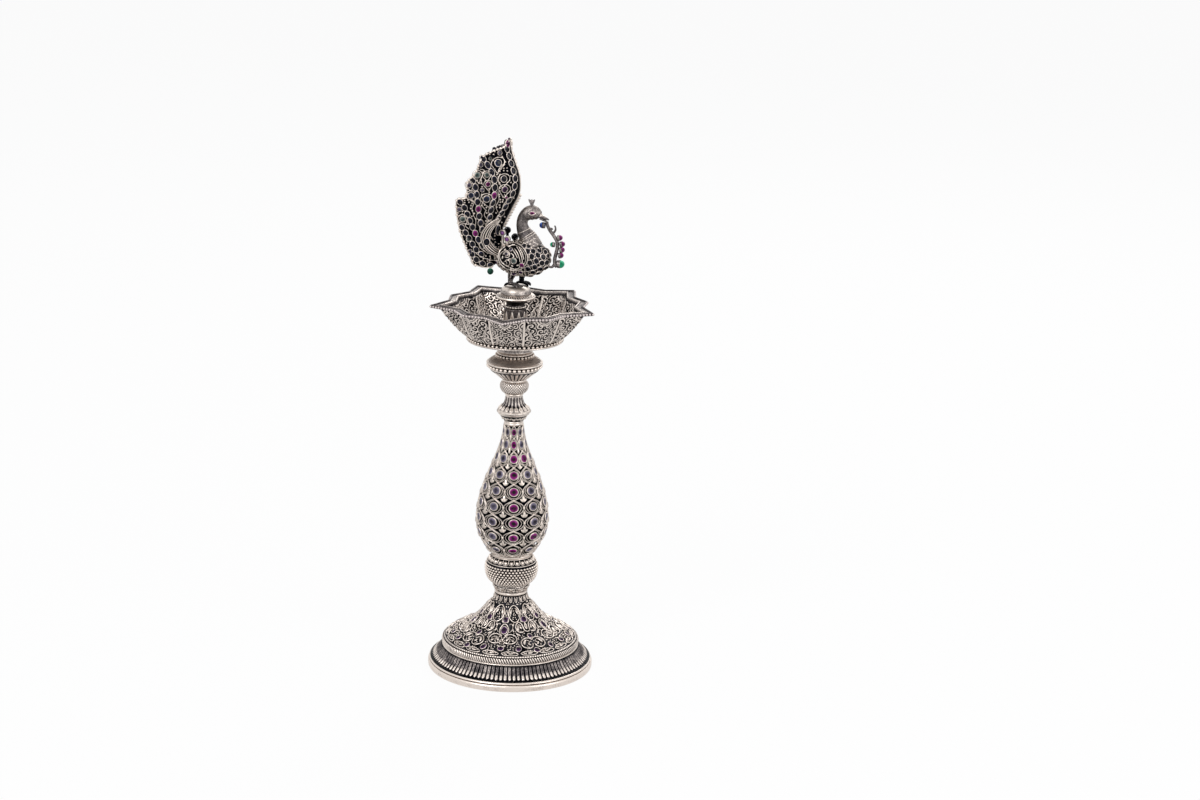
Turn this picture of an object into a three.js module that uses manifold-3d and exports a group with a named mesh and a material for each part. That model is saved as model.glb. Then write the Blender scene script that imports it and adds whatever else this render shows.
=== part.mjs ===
// Standing oil lamp: a stem of turned and pierced silver sections on a hollow foot,
// a bowl in the shape of a ten-pointed star, and a peacock finial.
// Millimetres, +Z up. The origin is the centre of the foot's flat underside.

import * as THREE from "three";
import { mergeVertices } from "three/addons/utils/BufferGeometryUtils.js";
import Module from "manifold-3d";

const wasm = await Module();
wasm.setup();

// Fits and sheet
const SEAM_GAP = 0.3; // between two pieces that meet on a curved or turned face
const SLIDE_GAP = 0.3; // all round a stud or rod in its hole
const SHEET = 1.2; // thickness of the raised silver sheet

// Facets round the turned pieces
const FOOT_SIDES = 36;
const DOME_SIDES = 40; // four to each column of the dome's stones
const STEM_SIDES = 20;
const SLIM_SIDES = 16;
const ROD_SIDES = 12;

// Foot
const FOOT_RADIUS = 49.5;
const FOOT_RING_HEIGHT = 5.4;
const FOOT_RING_WIDTH = 3.4;
const FOOT_EDGE_HEIGHT = 3.3; // the plain upright edge that shows at the very bottom
const EDGE_GROOVE = 0.9;
const PLATE_THICKNESS = 1.5;
const PLATE_LEDGE = 1.6;
const SKIRT_HEIGHT = 7.8;
const SKIRT_RUN = 7.2; // how far the fluted skirt draws in from its bottom to its top
const SKIRT_SETBACK = 1.3; // from the edge of the foot to the skirt's bottom
const SKIRT_THICKNESS = 1.7;
const FLUTES = 108;
const FLUTE_DEPTH = 0.7;
const DOME_FLANGE_HEIGHT = 1.4;
const ROPE_HEIGHT = 3.9;
const ROPE_THICKNESS = 1.7;
const DOME_HEIGHT = 26.9; // from the rope band's top to the neck
const DOME_OUTLINE = [
  // share of the dome's height, share of its flare
  [0, 1],
  [0.17, 0.73],
  [0.28, 0.535],
  [0.4, 0.4],
  [0.66, 0.19],
  [0.84, 0.05],
  [1, 0],
];
const BOSS_RISE = 0.9; // how far a chased boss stands out of the dome
const NECK_RADIUS = 9.2;
const NECK_WEB = 2;

// Tie rod inside the stem
const ROD_RADIUS = 2;
const ROD_TAIL = 3.4; // thread left below the nut
const ROD_END_GAP = 0.4;
const WASHER_RADIUS = 6;
const WASHER_THICKNESS = 1.2;
const NUT_FLATS = 7;
const NUT_HEIGHT = 3.2;

// Lower stem
const COLLAR_HEIGHT = 7.1;
const COLLAR_RING_RADIUS = 9.9;
const COLLAR_WAIST_RADIUS = 9;
const COLLAR_LEAF_RADIUS = 10.4;
const BULB_HEIGHT = 16.8;
const BULB_RADIUS = 15.6;
const BULB_END_RADIUS = 11.3;

// Pierced baluster
const BALUSTER_HEIGHT = 82.6;
const BALUSTER_FOOT_RADIUS = 11.2;
const BALUSTER_BELLY_RADIUS = 20.8;
const BALUSTER_BELLY_HEIGHT = 21.5;
const BALUSTER_NECK_RADIUS = 5.2;
const BALUSTER_TAPER = 1.1; // the power that sets how slowly the shoulder starts
const STONE_COLUMNS = 10;
const STONE_ROWS = 7;
const FIRST_ROW_BOTTOM = 3.1;
const SEAT_LIFT = 0.7; // how far a stone seat stands out of the lattice
const BUD_LIFT = 0.5;
const FRONT_COLUMN_TURN = 2.4; // degrees that the front column stands to the right of -Y
const RUBY_WIDTH = 4.9;
const RUBY_LENGTH = 5.5;
const RUBY_RISE = 1.3;
const PEAR_ROWS = 2;
const PEAR_PITCH = 7.3;
const PEAR_BAND = 16.15; // height of the unpierced neck that carries the pear-shaped stones
const PEAR_SCALE = 0.72;

// Upper stem
const TOP_COLLAR_HEIGHT = 5.4;
const TOP_COLLAR_FOOT_RADIUS = 5.6;
const TOP_COLLAR_RADIUS = 9.2;
const BELL_HEIGHT = 10.9;
const BELL_RADIUS = 10.1;
const BELL_NECK_RADIUS = 4.8;
const BELL_EDGE_ROUNDING = 0.5;
const BELL_TONGUES = 18;
const BELL_TONGUE_DEPTH = 0.35;
const NECK_RING_HEIGHT = 1.4;
const NECK_RING_RADIUS = 5.6;
const SMALL_BULB_HEIGHT = 7.2;
const SMALL_BULB_RADIUS = 8.3;
const SMALL_BULB_END_RADIUS = 6.4;
const CUP_HEIGHT = 10.7;
const CUP_FOOT_RADIUS = 6.9;
const CUP_FOOT_HEIGHT = 1.1;
const CUP_RADIUS = 15;
const CUP_FLUTES = 18;
const CUP_FLUTE_DEPTH = 0.4;
const DISC_BEAD_WIDTH = 1.7;
const DISC_BEAD_HEIGHT = 1.7;
const SEAT_DISC_RADIUS = 16.6;
const SEAT_DISC_EDGE = 1.2;
const SEAT_COVE_HEIGHT = 3.2;
const SEAT_NECK_RADIUS = 9.6;
const SEAT_NECK_HEIGHT = 8.5;
const SEAT_RING_RADIUS = 10.5;
const SEAT_RING_HEIGHT = 1.1;
const SEAT_BEAD_WIDTH = 1.4;
const SEAT_BEAD_HEIGHT = 1.3;

// Star bowl
const LONG_TIP_RADIUS = 50.5;
const SHORT_TIP_RADIUS = 43;
const NOTCH_RADIUS = 39.8;
const FRONT_TIP_TURN = -8.45; // degrees from -Y to the nearest long tip and to the dome's front stones
const LONG_TIPS = 5;
const BOWL_FLOOR_RADIUS = 27.4;
const BOWL_FLOOR_RISE = 1.4;
const BOWL_FLOOR_THICKNESS = 2;
const BOWL_FLANGE_WIDTH = 1;
const BOWL_FLANGE_HEIGHT = 1;
const BOWL_WALL_HEIGHT = 17.7;
const BOWL_WALL = 1.3;
const LIP_WIDTH = 4;
const LIP_THICKNESS = 1.2;
const RIM_WIRE_WIDTH = 1.5;
const RIM_WIRE_HEIGHT = 1.1;
const BOWL_BEAD_WIDTH = 1.2;
const BOWL_BEAD_HEIGHT = 1.4;

// Centre post, which clamps the bowl to the stem and carries the finial
const POST_RADIUS = 6.5;
const POST_HEIGHT = 18.5;
const POST_FLANGE_RADIUS = 8.5;
const POST_FLANGE_HEIGHT = 1.1;
const POST_BOSS_RADIUS = 5;
const POST_BOSS_HEIGHT = 2;
const POST_BEAD_WIDTH = 1.3;
const POST_BEAD_HEIGHT = 1.8;
const STUD_RADIUS = 3;
const STUD_LENGTH = 6;
const SPIGOT_RADIUS = 2.5;
const SPIGOT_DEPTH = 11;
const FINIAL_WAIST_HEIGHT = 4;
const FINIAL_DISC_RADIUS = 11.5;
const FINIAL_DISC_HEIGHT = 2.4;
const FINIAL_DISC_ROUNDING = 0.6;
const FINIAL_DOME_RADIUS = 8.9;
const FINIAL_DOME_HEIGHT = 5.1;
const FINIAL_TOP_RADIUS = 6.9;
const DOME_SOCKET_DEPTH = 2.6;

// Peacock, in its own frame: it faces +X, and its feet stand at height 0
const PEACOCK_TURN = 15; // degrees that its beak turns from +X towards -Y
const WING_THICKNESS = 1.3;
const WING_CENTRE = [0.8, 18.4];
const WING_HALF_LENGTH = 8.8;
const WING_HALF_HEIGHT = 7.6;
const TAIL_THICKNESS = 1.4;
const TAIL_SWEEP = 21; // how far to the side the fan's outer feathers reach
const TAIL_FOLD = 18; // the distance from the spine over which the fan turns aside
const SPINE_HALF_WIDTH = 0.8;
const SPINE_HALF_DEPTH = 1;
const SPINE_SET_BACK = 0.6; // from the line of its stones
const VINE_RADIUS = 1;
const BERRY_RADIUS = 1.5;
const BERRY_TURN = 0.2; // from straight outward, in radians
const EMERALD_RADIUS = 2.3;
const BEAD_RADIUS = 1.7;
const GREEN_BEAD_RADIUS = 1.4;
const GREEN_BEAD_PLACE = [24.4, 25.6]; // on the vine's middle line
const DROP_X = -13;
const EYE_RADIUS = 1.1;
const EYE_RISE = 0.7;
const TIP_RUBY_RADIUS = 1.6;
const TIP_RUBY_RISE = 1;
const TIP_RUBY_DROP = 1.6; // from the tail's tip down to the ruby's middle
const LEG_SPREAD = 3.2;
const STRIDE = 2.5;
const TOE_LENGTH = 3.4;

// Finishes
function finish(color, roughness, metalness) {
  return new THREE.MeshStandardMaterial({ color, roughness, metalness });
}
const silver = finish(0xb8b1a8, 0.35, 1);
const steel = finish(0x8d8f92, 0.45, 1);
const ruby = finish(0xa02878, 0.1, 0);
const emerald = finish(0x1d8f66, 0.1, 0);
const sapphire = finish(0x24407f, 0.1, 0);

const lamp = new THREE.Group();

// A mesh with its node's name, resting at a level of the stack it belongs to.
function add(parent, name, geometry, material, level = 0) {
  const mesh = new THREE.Mesh(geometry, material);
  mesh.name = name;
  mesh.position.z = level;
  parent.add(mesh);
  return mesh;
}

// A turned piece about Z. The profile is [radius, height] pairs that run out along the bottom,
// up the outside and in along the top; off the axis it closes on itself.
function turned(profile, segments) {
  const points = profile.map(([r, h]) => new THREE.Vector2(r, h));
  if (profile[0][0] > 0) points.push(points[0].clone());
  return new THREE.LatheGeometry(points, segments).rotateX(Math.PI / 2);
}

function surface(positions, indices) {
  const geometry = new THREE.BufferGeometry();
  geometry.setAttribute("position", new THREE.Float32BufferAttribute(positions.flat(), 3));
  geometry.setIndex(indices);
  return geometry;
}

// A ring whose outside has lobes. The outside is [radius, height, cut] from bottom to top, and
// every other one of its lines lies deeper by the cut. The inside is a plain bore with fewer lines.
function lobed(outside, bottomBore, topBore, lobes, linesPerBoreLine) {
  const lines = lobes * 2;
  const boreLines = lines / linesPerBoreLine;
  const positions = [];
  const indices = [];
  const row = (radius, height, cut, count) => {
    const start = positions.length;
    for (let k = 0; k < count; k++) {
      const angle = (k / count) * 2 * Math.PI;
      const r = radius - (k % 2) * cut;
      positions.push([r * Math.cos(angle), r * Math.sin(angle), height]);
    }
    return (k) => start + (k % count);
  };
  const rows = outside.map(([radius, height, cut = 0]) => row(radius, height, cut, lines));
  const low = row(bottomBore, outside[0][1], 0, boreLines);
  const high = row(topBore, outside.at(-1)[1], 0, boreLines);
  for (let k = 0; k < lines; k++)
    for (let p = 0; p < rows.length - 1; p++) {
      indices.push(rows[p](k), rows[p](k + 1), rows[p + 1](k + 1));
      indices.push(rows[p](k), rows[p + 1](k + 1), rows[p + 1](k));
    }
  for (let b = 0; b < boreLines; b++) {
    const first = b * linesPerBoreLine;
    indices.push(low(b), high(b), high(b + 1), low(b), high(b + 1), low(b + 1));
    indices.push(low(b), low(b + 1), rows[0](first + linesPerBoreLine));
    indices.push(high(b), rows.at(-1)(first + linesPerBoreLine), high(b + 1));
    for (let k = first; k < first + linesPerBoreLine; k++) {
      indices.push(low(b), rows[0](k + 1), rows[0](k));
      indices.push(high(b), rows.at(-1)(k), rows.at(-1)(k + 1));
    }
  }
  return surface(positions, indices);
}

// A closed form through stations [x, y, z, half width, half height], oval across its path.
function loft(stations, sides, grow = 0) {
  const centres = stations.map((s) => new THREE.Vector3(s[0], s[1], s[2]));
  const positions = [];
  const indices = [];
  stations.forEach(([, , , halfWidth, halfHeight], k) => {
    const before = centres[Math.max(k - 1, 0)];
    const after = centres[Math.min(k + 1, centres.length - 1)];
    const along = after.clone().sub(before).normalize();
    const across = new THREE.Vector3(0, 1, 0).addScaledVector(along, -along.y).normalize();
    const up = along.clone().cross(across);
    const end = k === 0 ? -grow : k === stations.length - 1 ? grow : 0;
    const centre = centres[k].clone().addScaledVector(along, end);
    for (let j = 0; j < sides; j++) {
      const angle = ((j + 0.5) / sides) * 2 * Math.PI;
      const point = centre
        .clone()
        .addScaledVector(across, (halfWidth + grow) * Math.cos(angle))
        .addScaledVector(up, (halfHeight + grow) * Math.sin(angle));
      positions.push(point.toArray());
    }
  });
  const at = (k, j) => k * sides + (j % sides);
  const last = stations.length - 1;
  for (let k = 0; k < last; k++)
    for (let j = 0; j < sides; j++) {
      indices.push(at(k, j), at(k, j + 1), at(k + 1, j + 1));
      indices.push(at(k, j), at(k + 1, j + 1), at(k + 1, j));
    }
  for (let j = 1; j < sides - 1; j++) {
    indices.push(at(0, 0), at(0, j + 1), at(0, j));
    indices.push(at(last, 0), at(last, j), at(last, j + 1));
  }
  return surface(positions, indices);
}

// A sheet with a thickness: polygons of [u, v, lift] points, anticlockwise seen from outside,
// are laid on a surface twice, and every free edge is closed with a wall between the two.
function thickSheet(polygons, placeOutside, placeInside, wrap = Infinity) {
  const index = new Map();
  const outside = [];
  const inside = [];
  const vertex = ([u, v, lift = 0]) => {
    const around = wrap === Infinity ? u : ((u % wrap) + wrap) % wrap;
    const key = `${around.toFixed(4)} ${v.toFixed(4)}`;
    if (!index.has(key)) {
      index.set(key, outside.length);
      outside.push(placeOutside(u, v, lift));
      inside.push(placeInside(u, v));
    }
    return index.get(key);
  };
  const faces = [];
  const edges = new Set();
  for (const polygon of polygons) {
    const ring = polygon.map(vertex);
    ring.forEach((a, i) => edges.add(`${a} ${ring[(i + 1) % ring.length]}`));
    for (let i = 1; i < ring.length - 1; i++) faces.push([ring[0], ring[i], ring[i + 1]]);
  }
  const count = outside.length;
  const indices = [];
  for (const [a, b, c] of faces) indices.push(a, b, c, count + a, count + c, count + b);
  for (const edge of edges) {
    const [a, b] = edge.split(" ").map(Number);
    if (!edges.has(`${b} ${a}`)) indices.push(a, count + b, b, a, count + a, count + b);
  }
  return surface([...outside, ...inside], indices);
}

// Solids for cutting and joining
function solid(geometry) {
  const bare = geometry.clone();
  bare.deleteAttribute("normal");
  bare.deleteAttribute("uv");
  const merged = mergeVertices(bare, 1e-4);
  const vertProperties = merged.attributes.position.array;
  const triVerts = new Uint32Array(merged.index.array);
  return new wasm.Manifold(new wasm.Mesh({ numProp: 3, vertProperties, triVerts }));
}

function shape(manifold) {
  const mesh = manifold.getMesh();
  const geometry = new THREE.BufferGeometry();
  geometry.setAttribute("position", new THREE.BufferAttribute(mesh.vertProperties, 3));
  geometry.setIndex(new THREE.BufferAttribute(mesh.triVerts, 1));
  return geometry;
}

// Heights of the stand, from the foot up
const skirtLevel = FOOT_RING_HEIGHT;
const domeLevel = skirtLevel + SKIRT_HEIGHT;
const neckHeight = DOME_FLANGE_HEIGHT + ROPE_HEIGHT + DOME_HEIGHT;
const collarLevel = domeLevel + neckHeight;
const bulbLevel = collarLevel + COLLAR_HEIGHT;
const balusterLevel = bulbLevel + BULB_HEIGHT;
const topCollarLevel = balusterLevel + BALUSTER_HEIGHT;
const bellLevel = topCollarLevel + TOP_COLLAR_HEIGHT;
const neckRingLevel = bellLevel + BELL_HEIGHT;
const smallBulbLevel = neckRingLevel + NECK_RING_HEIGHT;
const cupLevel = smallBulbLevel + SMALL_BULB_HEIGHT;
const seatLevel = cupLevel + CUP_HEIGHT;
const seatNeckHeight = SEAT_DISC_EDGE + SEAT_COVE_HEIGHT;
const seatHeight = seatNeckHeight + SEAT_NECK_HEIGHT;
const bowlLevel = seatLevel + seatHeight;
const bore = ROD_RADIUS + SLIDE_GAP;

// Foot ring, with the closing plate let into its underside
const skirtFootRadius = FOOT_RADIUS - SKIRT_SETBACK;
const ringInnerRadius = FOOT_RADIUS - FOOT_RING_WIDTH;
const recessRadius = ringInnerRadius + PLATE_LEDGE;
const grooveRadius = FOOT_RADIUS - EDGE_GROOVE;
const footRing = turned(
  [
    [recessRadius, 0],
    [FOOT_RADIUS, 0],
    [FOOT_RADIUS, FOOT_EDGE_HEIGHT],
    [grooveRadius, FOOT_EDGE_HEIGHT + 0.5 * EDGE_GROOVE],
    [FOOT_RADIUS - 0.5 * EDGE_GROOVE, 0.5 * (FOOT_EDGE_HEIGHT + 0.5 * EDGE_GROOVE + FOOT_RING_HEIGHT)],
    [skirtFootRadius, FOOT_RING_HEIGHT],
    [ringInnerRadius, FOOT_RING_HEIGHT],
    [ringInnerRadius, PLATE_THICKNESS],
    [recessRadius, PLATE_THICKNESS],
  ],
  FOOT_SIDES,
);
add(lamp, "foot_ring", footRing, silver);
const plateRadius = recessRadius - SEAM_GAP;
const plateProfile = [
  [0, 0],
  [plateRadius, 0],
  [plateRadius, PLATE_THICKNESS],
  [0, PLATE_THICKNESS],
];
add(lamp, "base_plate", turned(plateProfile, FOOT_SIDES), silver);

// Fluted skirt: a hollow curve with a round-ended flute on every line
const skirtTopRadius = skirtFootRadius - SKIRT_RUN;
const skirtOutside = [
  [skirtFootRadius, 0, FLUTE_DEPTH],
  [skirtFootRadius - 0.6 * SKIRT_RUN, 0.38 * SKIRT_HEIGHT, FLUTE_DEPTH],
  [skirtTopRadius, SKIRT_HEIGHT, FLUTE_DEPTH],
];
const skirtTopBore = skirtTopRadius - SKIRT_THICKNESS;
const skirt = lobed(skirtOutside, skirtFootRadius - SKIRT_THICKNESS, skirtTopBore, FLUTES, 6);
add(lamp, "fluted_skirt", skirt, silver, skirtLevel);

// Dome of the foot: a raised sheet that flares in to the neck, with a web for the tie rod
const domeFootRadius = skirtTopRadius - ROPE_THICKNESS - 2 * SEAM_GAP;
const domeShoulder = DOME_FLANGE_HEIGHT + ROPE_HEIGHT;
function domeRadius(share, inset) {
  const next = Math.max(DOME_OUTLINE.findIndex(([height]) => height >= share), 1);
  const [lowShare, lowFlare] = DOME_OUTLINE[next - 1];
  const [highShare, highFlare] = DOME_OUTLINE[next];
  const flare = THREE.MathUtils.mapLinear(share, lowShare, highShare, lowFlare, highFlare);
  return NECK_RADIUS - inset + (domeFootRadius - NECK_RADIUS) * flare;
}
const domeFlange = [
  [domeFootRadius - SHEET, 0],
  [skirtTopRadius, 0],
  [skirtTopRadius, DOME_FLANGE_HEIGHT],
  [domeFootRadius, DOME_FLANGE_HEIGHT],
];

// Rows of chased bosses under the stones and scrolls, each as its share of the dome's height,
// the first line round the dome that it lifts, and the lines from one boss to the next
const bossRows = [
  [0.12, 0, 2],
  [0.24, 1, 2],
  [0.36, 0, 4],
  [0.46, 1, 2],
  [0.57, 0, 4],
  [0.73, 2, 4],
];
const domePoint = (share, inset, top) => [
  domeRadius(share, inset),
  domeShoulder + share * (top - domeShoulder),
];
const chasedLine = [0, ...bossRows.map(([share]) => share), 0.86, 1];
const innerLine = DOME_OUTLINE.map(([share]) => domePoint(share, SHEET, neckHeight - NECK_WEB));
const domeProfile = [
  ...domeFlange,
  ...chasedLine.map((share) => domePoint(share, 0, neckHeight)),
  [bore, neckHeight],
  [bore, neckHeight - NECK_WEB],
  ...innerLine.reverse(),
];
const dome = turned(domeProfile, DOME_SIDES);
const domePlaces = dome.getAttribute("position");
const domePoints = domeProfile.length + 1; // the profile comes back to its first point
bossRows.forEach(([share, firstLine, step], row) => {
  const slope = domeRadius(share, 0) - domeRadius(share + 0.01, 0);
  const lean = Math.atan2(slope, 0.01 * (neckHeight - domeShoulder));
  for (let line = firstLine; line <= DOME_SIDES; line += step) {
    const index = line * domePoints + domeFlange.length + 1 + row;
    const place = new THREE.Vector3().fromBufferAttribute(domePlaces, index);
    const out = new THREE.Vector3(place.x, place.y, 0).setLength(BOSS_RISE * Math.cos(lean));
    out.z = BOSS_RISE * Math.sin(lean);
    place.add(out);
    domePlaces.setXYZ(index, ...place.toArray());
  }
});
dome.rotateZ(THREE.MathUtils.degToRad(FRONT_TIP_TURN));
add(lamp, "foot_dome", dome, silver, domeLevel);

// Rope band that hides the seam of dome and skirt
const ropeInner = domeFootRadius + SEAM_GAP;
const rope = turned(
  [
    [ropeInner, 0],
    [ropeInner + 0.6 * ROPE_THICKNESS, 0],
    [ropeInner + ROPE_THICKNESS, 0.5 * ROPE_HEIGHT],
    [ropeInner + 0.6 * ROPE_THICKNESS, ROPE_HEIGHT],
    [ropeInner, ROPE_HEIGHT],
  ],
  FOOT_SIDES,
);
add(lamp, "rope_band", rope, silver, domeLevel + DOME_FLANGE_HEIGHT);

// Tie rod, washer and nut, which draw the stem together from inside the foot
const webUnderside = collarLevel - NECK_WEB;
const washerLevel = webUnderside - WASHER_THICKNESS;
const nutLevel = washerLevel - NUT_HEIGHT;
const rodBottom = nutLevel - ROD_TAIL;
const rodSocketTop = seatLevel + seatNeckHeight + SEAT_BEAD_HEIGHT;
const rodTop = rodSocketTop - ROD_END_GAP;
const rod = new THREE.CylinderGeometry(ROD_RADIUS, ROD_RADIUS, rodTop - rodBottom, ROD_SIDES);
rod.rotateX(Math.PI / 2).translate(0, 0, 0.5 * (rodTop - rodBottom));
add(lamp, "tie_rod", rod, steel, rodBottom);
const washerProfile = [
  [bore, 0],
  [WASHER_RADIUS, 0],
  [WASHER_RADIUS, WASHER_THICKNESS],
  [bore, WASHER_THICKNESS],
];
add(lamp, "rod_washer", turned(washerProfile, SLIM_SIDES), steel, washerLevel);
const nutOutline = new THREE.Shape();
for (let k = 0; k < 6; k++) {
  const angle = (k * Math.PI) / 3;
  const corner = NUT_FLATS / Math.sqrt(3);
  nutOutline[k ? "lineTo" : "moveTo"](corner * Math.cos(angle), corner * Math.sin(angle));
}
nutOutline.closePath();
nutOutline.holes.push(new THREE.Path().absarc(0, 0, bore, 0, 2 * Math.PI, true));
const nutSettings = { depth: NUT_HEIGHT, bevelEnabled: false, curveSegments: 6 };
add(lamp, "rod_nut", new THREE.ExtrudeGeometry(nutOutline, nutSettings), steel, nutLevel);

// A barrel that swells from its end radius to its full radius and back
function barrel(height, radius, endRadius, steps, segments) {
  const line = Array.from({ length: steps + 1 }, (_, i) => {
    const u = (2 * i) / steps - 1;
    return [endRadius + (radius - endRadius) * Math.sqrt(Math.max(1 - u * u, 0)), (i / steps) * height];
  });
  return turned([[bore, 0], ...line, [bore, height]], segments);
}

// Leaf collar and granulated bulb
const collar = turned(
  [
    [bore, 0],
    [COLLAR_RING_RADIUS, 0],
    [COLLAR_RING_RADIUS, 0.22 * COLLAR_HEIGHT],
    [COLLAR_WAIST_RADIUS, 0.32 * COLLAR_HEIGHT],
    [COLLAR_LEAF_RADIUS, 0.72 * COLLAR_HEIGHT],
    [COLLAR_RING_RADIUS, COLLAR_HEIGHT],
    [bore, COLLAR_HEIGHT],
  ],
  STEM_SIDES,
);
add(lamp, "leaf_collar", collar, silver, collarLevel);
const bulb = barrel(BULB_HEIGHT, BULB_RADIUS, BULB_END_RADIUS, 6, STEM_SIDES);
add(lamp, "granulated_bulb", bulb, silver, bulbLevel);

// Outline of the baluster: a quarter sine up to the belly, then a long cosine shoulder
function balusterRadius(height) {
  if (height < BALUSTER_BELLY_HEIGHT) {
    const rise = Math.sin((0.5 * Math.PI * height) / BALUSTER_BELLY_HEIGHT);
    return BALUSTER_FOOT_RADIUS + (BALUSTER_BELLY_RADIUS - BALUSTER_FOOT_RADIUS) * rise;
  }
  const share = (height - BALUSTER_BELLY_HEIGHT) / (BALUSTER_HEIGHT - BALUSTER_BELLY_HEIGHT);
  const fall = 0.5 * (1 + Math.cos(Math.PI * Math.min(share, 1) ** BALUSTER_TAPER));
  return BALUSTER_NECK_RADIUS + (BALUSTER_BELLY_RADIUS - BALUSTER_NECK_RADIUS) * fall;
}

// Column number 0 is the front one; a column is 1 wide and a row 1 high on the lattice.
const frontColumnAngle = THREE.MathUtils.degToRad(FRONT_COLUMN_TURN - 90);
const columnAngle = (u) => frontColumnAngle + (u / STONE_COLUMNS) * 2 * Math.PI;
const stonePitch = (BALUSTER_HEIGHT - FIRST_ROW_BOTTOM - PEAR_BAND) / STONE_ROWS;
const rowHeight = (v) => FIRST_ROW_BOTTOM + v * stonePitch;

function onBaluster(u, height, offset) {
  const r = balusterRadius(height) + offset;
  return [r * Math.cos(columnAngle(u)), r * Math.sin(columnAngle(u)), height];
}

// Half sizes of the lattice's parts, as shares of a column or a row
const BUD_HALF_WIDTH = 0.13;
const BUD_HALF_HEIGHT = 0.15;
const SEAT_HALF_WIDTH = 0.29;
const SEAT_SHOULDER = 0.15;
const SEAT_HALF_HEIGHT = 0.31;

// Pierced lattice: in each cell four struts run from the leaf buds at its corners to a stone's
// seat in its middle, and the spaces that they leave are open.
function latticePolygons() {
  const polygons = [];
  const w = BUD_HALF_WIDTH;
  const h = BUD_HALF_HEIGHT;
  for (let column = 0; column < STONE_COLUMNS; column++) {
    for (let row = 0; row <= STONE_ROWS; row++) {
      const u = column + 0.5;
      const west = [u - w, row, BUD_LIFT];
      const east = [u + w, row, BUD_LIFT];
      const north = [u, row + h, BUD_LIFT];
      const south = [u, row - h, BUD_LIFT];
      if (row < STONE_ROWS) polygons.push([west, east, north]);
      if (row > 0) polygons.push([west, south, east]);
    }
    for (let row = 0; row < STONE_ROWS; row++) {
      const v = row + 0.5;
      for (const side of [-1, 1])
        for (const end of [-1, 1]) {
          const bud = column + 0.5 * side;
          const strut = [
            [bud, v + (0.5 - h) * end, BUD_LIFT],
            [column + SEAT_HALF_WIDTH * side, v, SEAT_LIFT],
            [column + SEAT_SHOULDER * side, v + SEAT_HALF_HEIGHT * end, SEAT_LIFT],
            [bud - w * side, v + 0.5 * end, BUD_LIFT],
          ];
          polygons.push(side * end < 0 ? strut : strut.reverse());
        }
      polygons.push([
        [column + SEAT_HALF_WIDTH, v, SEAT_LIFT],
        [column + SEAT_SHOULDER, v + SEAT_HALF_HEIGHT, SEAT_LIFT],
        [column - SEAT_SHOULDER, v + SEAT_HALF_HEIGHT, SEAT_LIFT],
        [column - SEAT_HALF_WIDTH, v, SEAT_LIFT],
        [column - SEAT_SHOULDER, v - SEAT_HALF_HEIGHT, SEAT_LIFT],
        [column + SEAT_SHOULDER, v - SEAT_HALF_HEIGHT, SEAT_LIFT],
      ]);
    }
  }
  return polygons;
}

// Plain bands below and above the lattice, as rows of quads on the same columns
function bandPolygons(levels) {
  const polygons = [];
  for (let column = 0; column < STONE_COLUMNS; column++) {
    const bud = column + 0.5;
    const edges = [bud - BUD_HALF_WIDTH, bud + BUD_HALF_WIDTH, bud + 1 - BUD_HALF_WIDTH];
    for (let i = 0; i < levels.length - 1; i++)
      for (let j = 0; j < 2; j++)
        polygons.push([
          [edges[j], levels[i]],
          [edges[j + 1], levels[i]],
          [edges[j + 1], levels[i + 1]],
          [edges[j], levels[i + 1]],
        ]);
  }
  return polygons;
}
const bottomV = -FIRST_ROW_BOTTOM / stonePitch;
const topV = (BALUSTER_HEIGHT - FIRST_ROW_BOTTOM) / stonePitch;
const lattice = thickSheet(
  [
    ...latticePolygons(),
    ...bandPolygons([bottomV, 0]),
    ...bandPolygons([0, 0.5, 1].map((share) => STONE_ROWS + share * (topV - STONE_ROWS))),
  ],
  (u, v, lift) => onBaluster(u, rowHeight(v), lift),
  (u, v) => onBaluster(u, rowHeight(v), -SHEET),
  STONE_COLUMNS,
);
add(lamp, "baluster_lattice", lattice, silver, balusterLevel);

// A stone: a low dome on a flat back, looking along +Z, oval if its length differs from its width
function stone(width, length, rise, sides = 8) {
  const half = 0.5 * width;
  const profile = [
    [0, 0],
    [half, 0],
    [0.8 * half, 0.6 * rise],
    [0, rise],
  ];
  return turned(profile, sides).scale(1, length / width, 1);
}

// Rubies of the front column: each lies on its seat and leans back with the baluster's side.
function setOnBaluster(name, height, scale, lift) {
  const slope = Math.atan2(balusterRadius(height + 1) - balusterRadius(height - 1), 2);
  const geometry = stone(RUBY_WIDTH * scale, RUBY_LENGTH * scale, RUBY_RISE);
  const mesh = add(lamp, name, geometry, ruby);
  const angle = columnAngle(0);
  mesh.rotation.set(0.5 * Math.PI + slope, 0, angle + 0.5 * Math.PI, "ZYX");
  const out = new THREE.Vector3(0, 0, lift + SEAM_GAP).applyEuler(mesh.rotation);
  mesh.position.set(...onBaluster(0, height, 0)).add(out);
  mesh.position.z += balusterLevel;
}
for (let row = 0; row < STONE_ROWS; row++)
  setOnBaluster(`baluster_ruby_${row + 1}`, rowHeight(row + 0.5), row ? 1 : PEAR_SCALE, SEAT_LIFT);
for (let row = 0; row < PEAR_ROWS; row++) {
  const height = rowHeight(STONE_ROWS) + (row + 0.5) * PEAR_PITCH;
  setOnBaluster(`baluster_ruby_${STONE_ROWS + row + 1}`, height, PEAR_SCALE ** (row + 1), 0);
}

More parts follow.
